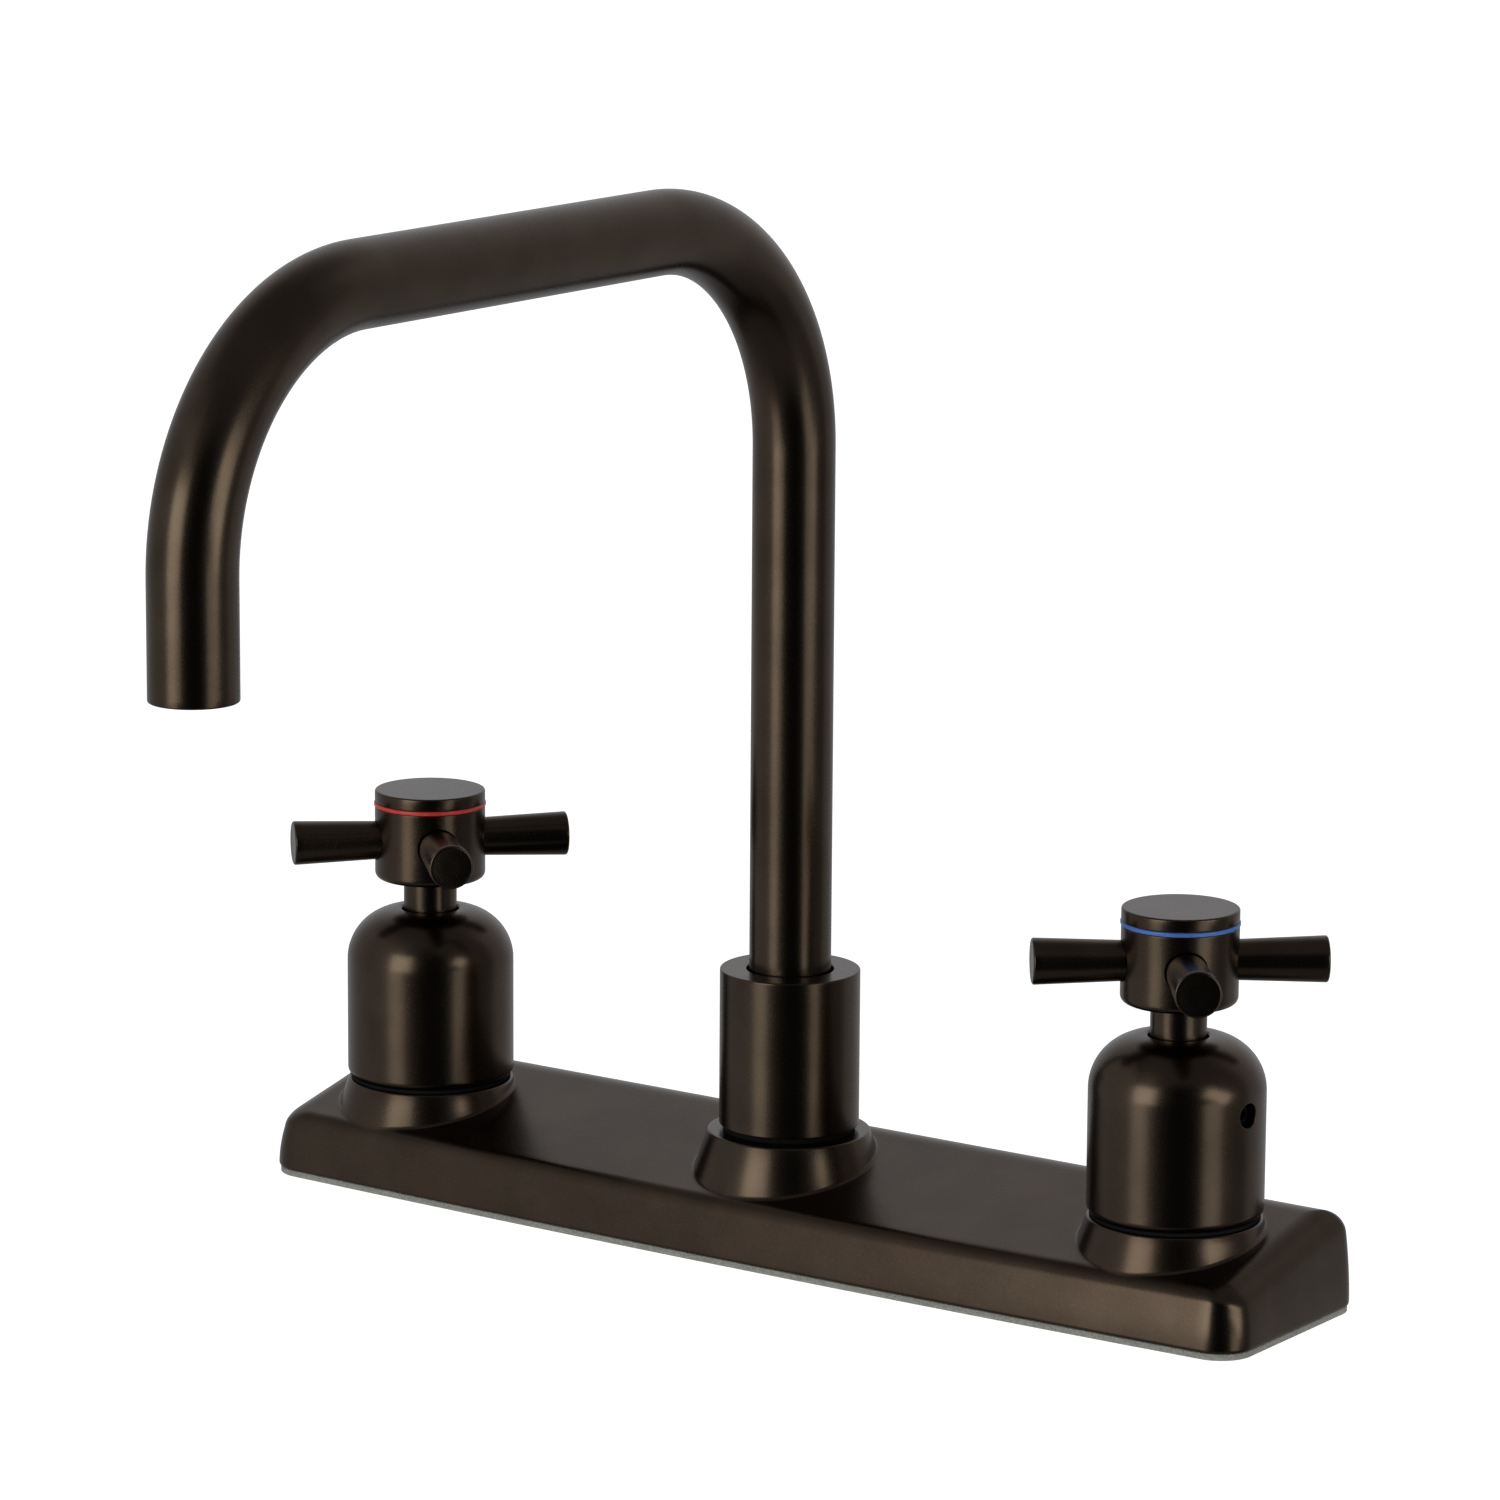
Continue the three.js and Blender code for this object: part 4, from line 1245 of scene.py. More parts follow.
        top_edge = flat(boss.radius)
        riser = foot - top_edge
        length = np.maximum(np.linalg.norm(riser, axis=1, keepdims=True), 1e-6)
        riser = riser / length
        soft_top = np.minimum(self.edge, self.edge_share * length)
        soft_foot = np.minimum(self.foot, self.foot_share * length)
        border = along[1].copy()
        is_edge = moves[-1] > 0
        last = along[-1]
        start = foot_at + soft_foot[:, 0]
        least = start + self.border_share * (last - start)
        border = np.where(is_edge, np.maximum(border, least), border)
        spread = np.linspace(0, 1, rows + 1)[:, None] ** self.row_growth
        across = at(start + (border - start) * spread)
        top_rows = [
            between(flat(boss.hole), flat(boss.radius - soft_top - self.rim), 4),
            bend(flat(boss.radius - soft_top), top_edge, top_edge + riser * soft_top, 4),
            between(top_edge + riser * soft_top, foot - riser * soft_foot, 3)[1:-1],
            bend(foot - riser * soft_foot, foot, across[0], 6),
            across[1:],
        ]
        return np.concatenate(top_rows), border - along[1]

    def lower_rows(self, past: Array, rows: int) -> Array:
        """Rows from the border of the top face over the rounded edge and down the wall.

        The wall is a little crowned: upright at its foot, it leans in with the square of the
        height.

        Args:
            past: how far along its edge path each column's border is.
            rows: rows over the rounded edge.

        Returns:
            The rows of points, the last on the lower edge.
        """
        edge = self.edge_path()
        moves = np.linalg.norm(np.diff(edge, axis=0), axis=2)
        along = np.concatenate([np.zeros((1, edge.shape[1])), np.cumsum(moves, axis=0)])
        distance = past + (along[-1] - past) * np.linspace(0, 1, rows + 1)[:, None]
        low = (along[None, 1:-1] <= distance[:, None]).sum(axis=1)
        pick = np.arange(edge.shape[1])
        share = ((distance - along[low, pick]) / (along[low + 1, pick] - along[low, pick]))[..., None]
        over = edge[low, pick] * (1 - share) + edge[low + 1, pick] * share
        foot = np.column_stack([self.outline.points(*[self.inset] * 3), np.full(edge.shape[1], self.bottom)])
        powers = np.array([2.0, 2.0, 1.0])
        rise = np.linspace(1, 0, self.wall_steps + 1)[1:, None, None] ** powers
        return np.concatenate([over, foot + (over[-1] - foot) * rise])


@dataclass
class DeckPlate:
    """The hollow cast plate with its three bosses, and the foam pad under it."""

    workshop: Workshop
    valve_x: float = VALVE_X
    top_height: float = 18 * MM
    slope: float = 12.1
    draft: float = 3.0
    wall: float = 2.2 * MM
    flare: float = 19.0
    fillets: tuple[float, float, float] = (3.4 * MM, 7 * MM, 11 * MM)
    valve_boss: tuple[float, float, float] = (19.138 * MM, 3.3 * MM, 12.4 * MM)
    spout_boss: tuple[float, float, float] = (18.24 * MM, 6.6 * MM, 14.37 * MM)
    shank_hole: float = 10.6 * MM
    pad_inset: float = 0.4 * MM
    pad_edge: float = 0.25 * MM
    lower_edge: float = 0.8 * MM
    divider_points: int = 28
    outline: PlateOutline = field(default_factory=PlateOutline)

    def skin(self, inset: float, share: float) -> PlateSkin:
        """The outside (inset 0) or the cavity's wall, with fillets at a share of the outside's.

        Args:
            inset: how far the skin is inside the outside.
            share: its fillets, as a share of the outside's.

        Returns:
            The skin.
        """
        base = levels("base_gasket")[1]
        height = base + self.top_height
        flare = math.tan(math.radians(self.flare))
        bosses = []
        for x, (radius, rise, hole) in (
            (-self.valve_x, self.valve_boss),
            (0.0, self.spout_boss),
            (self.valve_x, self.valve_boss),
        ):
            inner_radius = radius - inset + inset * flare
            bosses.append(BossForm(x, inner_radius, height + rise - inset, hole))
        return PlateSkin(
            outline=self.outline,
            bosses=tuple(bosses),
            inset=inset,
            height=height - inset,
            slope=math.tan(math.radians(self.slope)),
            flare=flare,
            fillets=tuple(radius * share for radius in self.fillets),
            lean=math.tan(math.radians(self.draft)) * self.top_height,
            bottom=base,
        )

    def _regions(self, skin: PlateSkin) -> list[tuple[BossForm, Array, list[tuple[int, Array]]]]:
        """The three parts of the top: a boss, its outline columns and its dividing lines.

        Args:
            skin: the outside or the cavity.

        Returns:
            The parts, left to right.
        """
        left, right = -self.valve_x / 2, self.valve_x / 2
        outline = self.outline
        count = 2 * outline.half_count
        front = [outline.column(x, back=False) for x in (left, right)]
        back = [outline.column(x, back=True) for x in (left, right)]
        lines = [skin.divider(x, self.divider_points) for x in (left, right)]
        front_middle = np.arange(front[0], front[1] + 1)
        back_middle = np.arange(back[1], back[0] + 1)
        left_part = np.arange(back[0], front[0] + count + 1) % count
        right_part = np.arange(front[1], back[1] + 1)
        middle = np.concatenate([front_middle, back_middle])
        return [
            (skin.bosses[0], left_part, [(len(left_part), lines[0])]),
            (skin.bosses[1], middle, [(len(front_middle), lines[1]), (len(middle), lines[0][::-1])]),
            (skin.bosses[2], right_part, [(len(right_part), lines[1][::-1])]),
        ]

    def plate(self) -> Shell:
        """The plate: outside and cavity joined through the bosses' holes and along the lower edge.

        Returns:
            Its closed shell.
        """
        made = Shell()
        outside, cavity = self.skin(0.0, 1.0), self.skin(self.wall, 0.5)
        past = [np.zeros(2 * self.outline.half_count) for _ in range(2)]
        for outer, inner in zip(self._regions(outside), self._regions(cavity), strict=True):
            sheets = []
            for store, skin, part in zip(past, (outside, cavity), (outer, inner), strict=True):
                boss, columns, lines = part
                rows, border = skin.region(boss, columns, lines, rows=10)
                is_line = np.zeros(rows.shape[1], bool)
                for place, line in sorted(lines, key=lambda item: item[0]):
                    shift = int(is_line.sum())
                    is_line[place + shift : place + shift + len(line)] = True
                store[columns] = np.maximum(store[columns], border[~is_line])
                sheets.append(rows)
            made.add(np.concatenate([sheets[1][::-1], sheets[0]]), flip=True)
        outer_rows = outside.lower_rows(past[0], rows=12)
        inner_rows = cavity.lower_rows(past[1], rows=8)
        outer_rows = self._softened_foot(outer_rows)
        made.add(np.concatenate([outer_rows, inner_rows[::-1]]), flip=True)
        return made

    def _softened_foot(self, rows: Array) -> Array:
        """The wall's rows with their last corner, where wall meets underside, rounded.

        Args:
            rows: the rows of the wall, top to foot.

        Returns:
            The rows, with the rounding's in place of the last.
        """
        foot = rows[-1]
        inward = self.outline.points(*[self.lower_edge] * 3)
        under = np.column_stack([inward, foot[:, 2]])
        up = rows[-2] - foot
        up = up / np.linalg.norm(up, axis=1, keepdims=True)
        return np.concatenate([rows[:-1], bend(foot + up * self.lower_edge, foot, under, 4)])

    def pad(self) -> Shell:
        """The foam pad: the outline less the inset, with soft edges and a hole for each shank.

        Returns:
            Its closed shell.
        """
        low, high = levels("base_gasket")
        outline = self.outline
        count = 2 * outline.half_count
        front, back = outline.column(0.0, back=False), outline.column(0.0, back=True)

        def border(inset: float) -> Array:
            """The pad's outline, pulled in."""
            return outline.points(*[self.pad_inset + inset] * 3)

        flat = border(self.pad_edge)
        y = np.linspace(flat[front, 1], flat[back, 1], self.divider_points + 2)[1:-1]
        line = np.column_stack([np.zeros(len(y)), y])
        parts = [
            (self.valve_x, np.arange(front, back + 1), line[::-1]),
            (-self.valve_x, np.arange(back, front + count + 1) % count, line),
        ]
        made = Shell()
        for x, columns, middle in parts:
            rim = np.concatenate([flat[columns], middle])
            out = rim - (x, 0)
            out = out / np.linalg.norm(out, axis=1, keepdims=True)
            hole = out * self.shank_hole + (x, 0)
            share = np.linspace(0, 1, 9)[:, None, None]
            sheet = hole + (rim - hole) * share
            upper = np.concatenate([sheet, np.full((*sheet.shape[:2], 1), high)], axis=2)
            lower = np.concatenate([sheet, np.full((*sheet.shape[:2], 1), low)], axis=2)
            made.add(np.concatenate([lower[::-1], upper]), flip=True)
        turn = np.radians(np.linspace(0, 90, 5))
        rows = []
        for angle in turn:
            z = np.full(count, high - self.pad_edge * (1 - math.cos(angle)))
            rows.append(np.column_stack([border(self.pad_edge * (1 - math.sin(angle))), z]))
        for angle in turn[::-1]:
            z = np.full(count, low + self.pad_edge * (1 - math.cos(angle)))
            rows.append(np.column_stack([border(self.pad_edge * (1 - math.sin(angle))), z]))
        made.add(np.array(rows), flip=True)
        return made

    def build(self) -> None:
        """Makes the plate and the pad."""
        self.workshop.fit(self.plate(), "deck_plate", crease=50.0)
        self.workshop.fit(self.pad(), "base_gasket")


# ---------------------------------------------------------------- valves


class Side(Enum):
    """The two valves: the name that starts their nodes, and the sign of their x."""

    HOT = ("hot", -1)
    COLD = ("cold", 1)

    def node(self, part: str) -> str:
        """Name of this side's CAD node."""
        return f"{self.value[0]}_{part}"

    @property
    def sign(self) -> int:
        """-1 on the hot side, 1 on the cold side."""
        return self.value[1]


@dataclass
class Valve:
    """What stands on the deck at one valve: the dome, its ring and screw, and the fixings."""

    workshop: Workshop
    side: Side
    valve_x: float = VALVE_X
    dome_radius: float = 19.288 * MM
    dome_wall: float = 1.7 * MM
    dome_shoulder: float = 12 * MM
    dome_foot: float = 1.6 * MM
    neck_hole: float = 6.59 * MM
    hole_edge: float = 0.5 * MM
    screw_hole: float = 2.72 * MM
    screw_height: float = 48.2 * MM
    screw_radius: float = 2.45 * MM
    screw_inset: float = 0.9 * MM
    screw_sunk: float = 1.1 * MM
    screw_socket: float = 1.3 * MM
    screw_socket_depth: float = 2 * MM
    screw_turn: float = 6.0
    screw_chamfer: float = 0.3 * MM
    screw_sides: int = 48
    socket_flare: float = 0.08
    hole_rim: float = 0.2 * MM
    ring_edge: float = 0.3 * MM
    washer_edges: tuple[float, ...] = (0.2 * MM, 0.5 * MM, 0.5 * MM, 0.2 * MM)
    ring_inner: float = 12.4 * MM
    ring_outer: float = 18.588 * MM
    shank_bore: float = 10.5 * MM
    washer_radius: float = 18 * MM
    nut_radius: float = 14.5 * MM
    wing_reach: float = 5 * MM
    wing_height: float = 9 * MM
    wing_half: float = 2 * MM
    wings: int = 4
    wing_soften: float = 0.5 * MM
    nut_edge: float = 0.8 * MM
    nut_wall_from: float = 1.2 * MM
    nut_wall_rows: int = 24
    wing_columns: int = 40

    @property
    def shift(self) -> tuple[float, float, float]:
        """Where the valve's axis stands."""
        return (self.side.sign * self.valve_x, 0.0, 0.0)

    @property
    def screw_angle(self) -> float:
        """Where the set screw points, in radians."""
        outward = 0.0 if self.side is Side.COLD else math.pi
        return outward - self.side.sign * math.radians(self.screw_turn)

    def dome(self) -> Shell:
        """Bell: a straight wall, a quarter round shoulder, a flat crown with the neck's hole.

        Returns:
            Its closed shell.
        """
        low, top = levels(self.side.node("dome"))
        inner = self.dome_radius - self.dome_wall
        shoulder = top - self.dome_shoulder
        crown = top - self.dome_wall
        inner_shoulder = self.dome_shoulder - self.dome_wall
        foot = self.dome_foot
        edge = self.hole_edge
        bottom_wall = [(self.dome_radius, low + foot + 0.3 * MM), (self.dome_radius, shoulder - 0.5 * MM)]
        profile = np.concatenate([
            [(inner, low)],
            arc((self.dome_radius - foot, low + foot), foot, -90, 0, 8),
            bottom_wall,
            arc((self.dome_radius - self.dome_shoulder, shoulder), self.dome_shoulder, 0, 90, 28),
            arc((self.neck_hole + edge, top - edge), edge, 90, 180, 5),
            [(self.neck_hole, crown)],
            arc((inner - inner_shoulder, shoulder), inner_shoulder, 90, 0, 14),
            [(inner, low)],
        ])
        hole = Drilling(self.screw_angle, self.screw_height, self.screw_hole, rim=self.hole_rim)
        return Turned(profile, (hole,), sides=144).shell().moved(shift=self.shift)

    def set_screw(self) -> Shell:
        """Headless screw: a chamfered rod with a six sided socket in its outer end.

        The socket's edge is at radius f / cos(a'), with f half the width across flats and a'
        the angle from the middle of the nearest flat.

        Returns:
            Its closed shell.
        """
        low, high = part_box(self.side.node("set_screw"))
        outer = self.dome_radius - self.screw_inset
        near = outer - (high.x - low.x)
        far = outer - self.screw_sunk
        sides, chamfer = self.screw_sides, self.screw_chamfer
        angles = full_turn(sides)
        to_flat = (angles + np.pi / 6) % (np.pi / 3) - np.pi / 6
        hexagon = self.screw_socket / np.cos(to_flat)

        def ring(radius: Array | float, z: float) -> Array:
            """One row of the screw."""
            radius = np.broadcast_to(radius, angles.shape)
            return np.stack([radius * np.cos(angles), radius * np.sin(angles), np.full(sides, z)], axis=1)

        floor = far - self.screw_socket_depth
        rows = [
            ring(0, near), ring(self.screw_radius - chamfer, near), ring(self.screw_radius, near + chamfer),
            ring(self.screw_radius, far - chamfer), ring(self.screw_radius - chamfer, far),
            ring(hexagon * (1 + self.socket_flare), far),
            ring(hexagon, far - self.socket_flare * self.screw_socket), ring(hexagon, floor), ring(0, floor),
        ]
        made = Shell()
        made.add(np.array(rows))
        return made.laid_along_x(self.screw_height).moved(self.screw_angle, self.shift)

    def dome_ring(self) -> Shell:
        """Rubber ring under the dome, with a rounded outer edge.

        Returns:
            Its closed shell.
        """
        low, high = levels(self.side.node("dome_ring"))
        corners = ring_section(self.ring_inner, self.ring_outer, low, high)
        profile = rounded(corners, [0, self.ring_edge, self.ring_edge, 0], steps=4)
        return Turned(profile, sides=96).shell().moved(shift=self.shift)

    def washer(self) -> Shell:
        """Washer under the sink, with softened edges.

        Returns:
            Its closed shell.
        """
        low, high = levels(self.side.node("mounting_washer"))
        corners = ring_section(self.shank_bore, self.washer_radius, low, high)
        profile = rounded(corners, self.washer_edges, steps=4)
        return Turned(profile, sides=96).shell().moved(shift=self.shift)

    def mounting_nut(self) -> Shell:
        """Winged nut: r = body + reach * side(a) * rise(z), both smooth steps at a wing's faces.

        Returns:
            Its closed shell.
        """
        low, high = levels(self.side.node("mounting_nut"))
        middle = (low + high) / 2
        columns = self.wing_columns * self.wings
        angles = full_turn(columns)
        from_wing = (angles + np.pi / self.wings) % (2 * np.pi / self.wings) - np.pi / self.wings
        off_middle = np.abs(np.sin(from_wing)) * (self.nut_radius + self.wing_reach / 2)
        soften = self.wing_soften
        side = np.clip((self.wing_half + soften / 2 - off_middle) / soften, 0, 1)
        side = side * side * (3 - 2 * side)
        edge, wall_from, wall_rows = self.nut_edge, self.nut_wall_from, self.nut_wall_rows
        turn = np.linspace(0, np.pi / 2, 5)
        core = self.nut_radius - edge
        wall = np.linspace(low + wall_from, high - wall_from, wall_rows)
        body = np.concatenate([
            np.column_stack([core + edge * np.sin(turn), low + edge - edge * np.cos(turn)]),
            np.column_stack([np.full(wall_rows, self.nut_radius), wall]),
            np.column_stack([core + edge * np.cos(turn), high - edge + edge * np.sin(turn)]),
        ])
        rise = np.clip((self.wing_height / 2 + soften / 2 - np.abs(body[:, 1] - middle)) / soften, 0, 1)
        rise = rise * rise * (3 - 2 * rise)
        radius = body[:, :1] + self.wing_reach * side * rise[:, None]
        inner = np.array([[self.shank_bore, high], [self.shank_bore, low]])
        rows = np.stack([
            radius * np.cos(angles), radius * np.sin(angles), np.broadcast_to(body[:, 1:], radius.shape)
        ], axis=-1)
        bore = spin(inner, angles)
        made = Shell()
        made.add(np.concatenate([rows, bore, rows[:1]]))
        return made.moved(shift=self.shift)

    def build(self) -> None:
        """Makes this valve's pieces."""
        self.workshop.fit(self.dome(), self.side.node("dome"))
        self.workshop.fit(self.set_screw(), self.side.node("set_screw"), BLACK_STEEL, crease=30.0)
        self.workshop.fit(self.dome_ring(), self.side.node("dome_ring"))
        self.workshop.fit(self.washer(), self.side.node("mounting_washer"))
        self.workshop.fit(self.mounting_nut(), self.side.node("mounting_nut"))


# ---------------------------------------------------------------- handles


# Where the first bar of each cross points, in degrees, as in the photograph.
FIRST_BAR = {Side.HOT: 46.5, Side.COLD: 38.5}


@dataclass
class Handle:
    """One cross handle: hub, four bars, neck, coloured ring and cap."""

    workshop: Workshop
    side: Side
    first_bar: float
    valve_x: float = VALVE_X
    hub_radius: float = 12.77 * MM
    hub_foot: float = 1.6 * MM
    hub_edge: float = 0.25 * MM
    stem_bore: float = 4.2 * MM
    screw_bore: float = 2.6 * MM
    recess_radius: float = 7.3 * MM
    recess_depth: float = 5.5 * MM
    web: float = 1.4 * MM
    bar_height: float = 79.4 * MM
    bar_hole: float = 4.65 * MM
    bar_floor: float = 8.27 * MM
    bar_root: float = 4.45 * MM
    bar_tip: float = 5.08 * MM
    bar_start: float = 8.57 * MM
    bar_reach: float = 32 * MM
    bar_edge: float = 0.5 * MM
    bar_rim: float = 0.25 * MM
    bar_dish: float = 0.08 * MM
    bar_chamfer: float = 0.2 * MM
    bar_hole_rim: float = 0.12 * MM
    bars: int = 4
    neck_radius: float = 6.14 * MM
    neck_edge: float = 0.3 * MM
    ring_radius: float = 12.95 * MM
    ring_edge: float = 0.3 * MM
    cap_edge: float = 0.45 * MM
    spigot: float = 7.1 * MM
    spigot_low: float = 85.1 * MM

    @property
    def shift(self) -> tuple[float, float, float]:
        """Where the handle's axis stands."""
        return (self.side.sign * self.valve_x, 0.0, 0.0)

    def _bar_angle(self, number: int) -> float:
        """Where a bar points, in radians."""
        return math.radians(self.first_bar + number * 360 / self.bars)

    def hub(self) -> Shell:
        """Turned hub with a rounded foot, drilled for the four bars.

        Returns:
            Its closed shell.
        """
        low, top = levels(self.side.node("handle_hub"))
        recess = top - self.recess_depth
        corners = [
            (self.stem_bore, low), (self.hub_radius, low), (self.hub_radius, top), (self.recess_radius, top),
            (self.recess_radius, recess), (self.screw_bore, recess), (self.screw_bore, recess - self.web),
            (self.stem_bore, recess - self.web),
        ]
        radii = [0, self.hub_foot, self.hub_edge, 0, 0, 0, 0, 0]
        profile = rounded(corners, radii, steps=9)
        holes = tuple(
            Drilling(self._bar_angle(n) % (2 * math.pi), self.bar_height, self.bar_hole, self.bar_floor,
                     rim=self.bar_hole_rim, margin=1.18)
            for n in range(self.bars)
        )
        return Turned(profile, holes, sides=120).shell().moved(shift=self.shift)

    def bar(self, number: int) -> Shell:
        """One arm: straight in the hub, then slightly wider towards a flat tip with a soft rim.

        Args:
            number: 0 for the first bar, and on anticlockwise.

        Returns:
            Its closed shell.
        """
        start, root, reach, tip = self.bar_start, self.bar_root, self.bar_reach, self.bar_tip
        face = reach - self.bar_dish
        profile = np.concatenate([
            [(0, start), (root - self.bar_chamfer, start), (root, start + self.bar_chamfer)],
            [(root, self.hub_radius)],
            np.column_stack([
                np.linspace(root, tip, 13)[1:],
                np.linspace(self.hub_radius, reach - self.bar_edge, 13)[1:],
            ]),
            arc((tip - self.bar_edge, reach - self.bar_edge), self.bar_edge, 0, 90, 7)[1:],
            [(tip - self.bar_edge - self.bar_rim, reach), (tip * 0.72, face), (tip * 0.3, face), (0, face)],
        ])
        rod = Turned(profile, sides=72).shell().laid_along_x(self.bar_height)
        return rod.moved(self._bar_angle(number), self.shift)

    def neck(self) -> Shell:
        """Sleeve round the stem.

        Returns:
            Its closed shell.
        """
        low, high = levels(self.side.node("neck_sleeve"))
        corners = ring_section(self.stem_bore, self.neck_radius, low, high)
        profile = rounded(corners, [0, self.neck_edge, 0, 0], steps=4)
        return Turned(profile, sides=80).shell().moved(shift=self.shift)

    def index_ring(self) -> Shell:
        """Thin coloured ring with a rounded outer edge.

        Returns:
            Its closed shell.
        """
        low, high = levels(self.side.node("index_ring"))
        corners = ring_section(self.recess_radius, self.ring_radius, low, high)
        profile = rounded(corners, [0, self.ring_edge, self.ring_edge, 0], steps=5)
        return Turned(profile, sides=112).shell().moved(shift=self.shift)

    def cap(self) -> Shell:
        """Flat cap with soft edges, and the spigot that holds it.

        Returns:
            Its closed shell.
        """
        top = levels(self.side.node("handle_cap"))[1]
        base = levels(self.side.node("index_ring"))[1]
        edge = self.cap_edge
        profile = np.concatenate([
            [(0, self.spigot_low), (self.spigot, self.spigot_low), (self.spigot, base)],
            arc((self.hub_radius - edge / 2, base + edge / 2), edge / 2, -90, 0, 4),
            arc((self.hub_radius - edge, top - edge), edge, 0, 90, 7),
            [(self.hub_radius - edge - 0.3 * MM, top), (self.hub_radius * 0.5, top), (0, top)],
        ])
        return Turned(profile, sides=112).shell().moved(shift=self.shift)

    def build(self) -> None:
        """Makes this handle's pieces."""
        self.workshop.fit(self.hub(), self.side.node("handle_hub"))
        for number in range(self.bars):
            self.workshop.fit(self.bar(number), self.side.node(f"handle_bar_{number + 1}"))
        self.workshop.fit(self.neck(), self.side.node("neck_sleeve"))
        self.workshop.fit(self.index_ring(), self.side.node("index_ring"))
        self.workshop.fit(self.cap(), self.side.node("handle_cap"))


# ---------------------------------------------------------------- spout


@dataclass
class Spout:
    """The bent tube, the collar round its foot and the insert in its outlet."""

    workshop: Workshop
    tube_radius: float = 9.17 * MM
    tube_wall: float = 1.2 * MM
    bend_radius: float = 52.4 * MM
    outlet: float = 156.9 * MM
    straight_steps: int = 14
    bend_steps: int = 40
    sides: int = 72
    collar_radius: float = 15.74 * MM
    collar_inner: float = 14.42 * MM
    collar_hole: float = 9.8 * MM
    collar_lip: float = 3.5 * MM
    collar_edge: float = 0.35 * MM
    collar_inner_edge: float = 0.3 * MM
    ring_inner: float = 14.37 * MM
    ring_outer: float = 14.84 * MM
    ring_edge: float = 0.15 * MM
    outlet_lip: float = 0.35 * MM
    housing_radius: float = 7.77 * MM
    housing_wall: float = 1.1 * MM
    housing_edges: tuple[float, ...] = (0.4 * MM, 0.3 * MM, 0, 0)

    def path(self) -> tuple[Array, Array]:
        """Centre line in the YZ plane, from the foot to the outlet.

        Up, a quarter circle forwards, level, a quarter circle down, and down to the outlet:
        in each straight run the lean stays, and in a bend it grows evenly by a right angle.

        Returns:
            The (y, z) points and the lean of the tube at each, in radians from upright.
        """
        low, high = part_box("spout_tube")
        foot, outlet = low.z, self.outlet
        arm = high.z - self.tube_radius
        reach = -(low.y + self.tube_radius)
        radius = self.bend_radius
        bend_z = arm - radius
        turn = np.linspace(0, np.pi / 2, self.bend_steps + 1)
        rise = np.linspace(0, 1, self.straight_steps + 1)[:-1]
        fall = rise + 1 / self.straight_steps
        runs = [
            (0 * rise, foot + (bend_z - foot) * rise, 0 * rise),
            (-radius * (1 - np.cos(turn)), bend_z + radius * np.sin(turn), turn),
            (-radius - (reach - 2 * radius) * rise[1:], arm + 0 * rise[1:], np.pi / 2 + 0 * rise[1:]),
            (-reach + radius * (1 - np.sin(turn)), bend_z + radius * np.cos(turn), np.pi / 2 + turn),
            (-reach + 0 * rise, bend_z + (outlet - bend_z) * fall, np.pi + 0 * rise),
        ]
        y, z, lean = (np.concatenate(part) for part in zip(*runs, strict=True))
        return np.stack([y, z], axis=1), lean

    def tube(self) -> Shell:
        """The tube: its section, a ring with rounded ends, carried along the path.

        A point at angle a of the section is centre + r (cos a X + sin a N), with N across the
        path in its plane.

        Returns:
            Its closed shell.
        """
        centre, lean = self.path()
        angles = full_turn(self.sides)
        lip = self.outlet_lip
        turn = np.linspace(0, np.pi / 2, 5)[1:]
        along = np.stack([0 * lean, -np.sin(lean), np.cos(lean)], axis=1)
        across = np.stack([0 * lean, np.cos(lean), np.sin(lean)], axis=1)
        middle = np.column_stack([0 * lean, centre])

        def rows(points: Array, normal: Array, radius: Array | float) -> Array:
            """Rings round some points of the path.

            Args:
                points: centres of the rings.
                normal: N at each of them.
                radius: of the rings.

            Returns:
                The rings' points.
            """
            radius = np.broadcast_to(np.reshape(radius, (-1, 1, 1)), (len(points), 1, 1))
            sideways = np.cos(angles)[None, :, None] * np.array([1.0, 0, 0])
            spoke = sideways + np.sin(angles)[None, :, None] * normal[:, None]
            return points[:, None] + radius * spoke

        end, end_along, end_across = middle[-1], along[-1], across[-1]
        bore = self.tube_radius - self.tube_wall
        body = middle.copy()
        body[-1] = end - end_along * lip

        def mouth(radius: float, sign: int) -> Array:
            """Rounded rim of the mouth, outside (sign -1) or inside (sign 1) of the wall."""
            points = end - end_along * lip * (1 - np.sin(turn))[:, None]
            return rows(points, np.tile(end_across, (len(turn), 1)), radius + sign * lip * (1 - np.cos(turn)))

        outside = np.concatenate([rows(body, across, self.tube_radius), mouth(self.tube_radius, -1)])
        inside = np.concatenate([rows(body, across, bore), mouth(bore, 1)])
        made = Shell()
        made.add(np.concatenate([outside, inside[::-1], outside[:1]]))
        return made

    def collar(self) -> Shell:
        """Collar nut: a plain turned cup, open below, with a hole for the tube.

        Returns:
            Its closed shell.
        """
        low, top = levels("spout_collar")
        lip = top - self.collar_lip
        corners = [
            (self.collar_inner, low), (self.collar_radius, low), (self.collar_radius, top),
            (self.collar_hole, top), (self.collar_hole, lip), (self.collar_inner, lip),
        ]
        inner_edge = self.collar_inner_edge
        radii = [0, inner_edge, self.collar_edge, inner_edge, 0, inner_edge]
        return Turned(rounded(corners, radii, steps=7), sides=128).shell()

    def collar_ring(self) -> Shell:
        """Rubber ring under the collar.

        Returns:
            Its closed shell.
        """
        low, high = levels("collar_ring")
        corners = ring_section(self.ring_inner, self.ring_outer, low, high)
        return Turned(rounded(corners, [0, self.ring_edge, self.ring_edge, 0], steps=4), sides=112).shell()

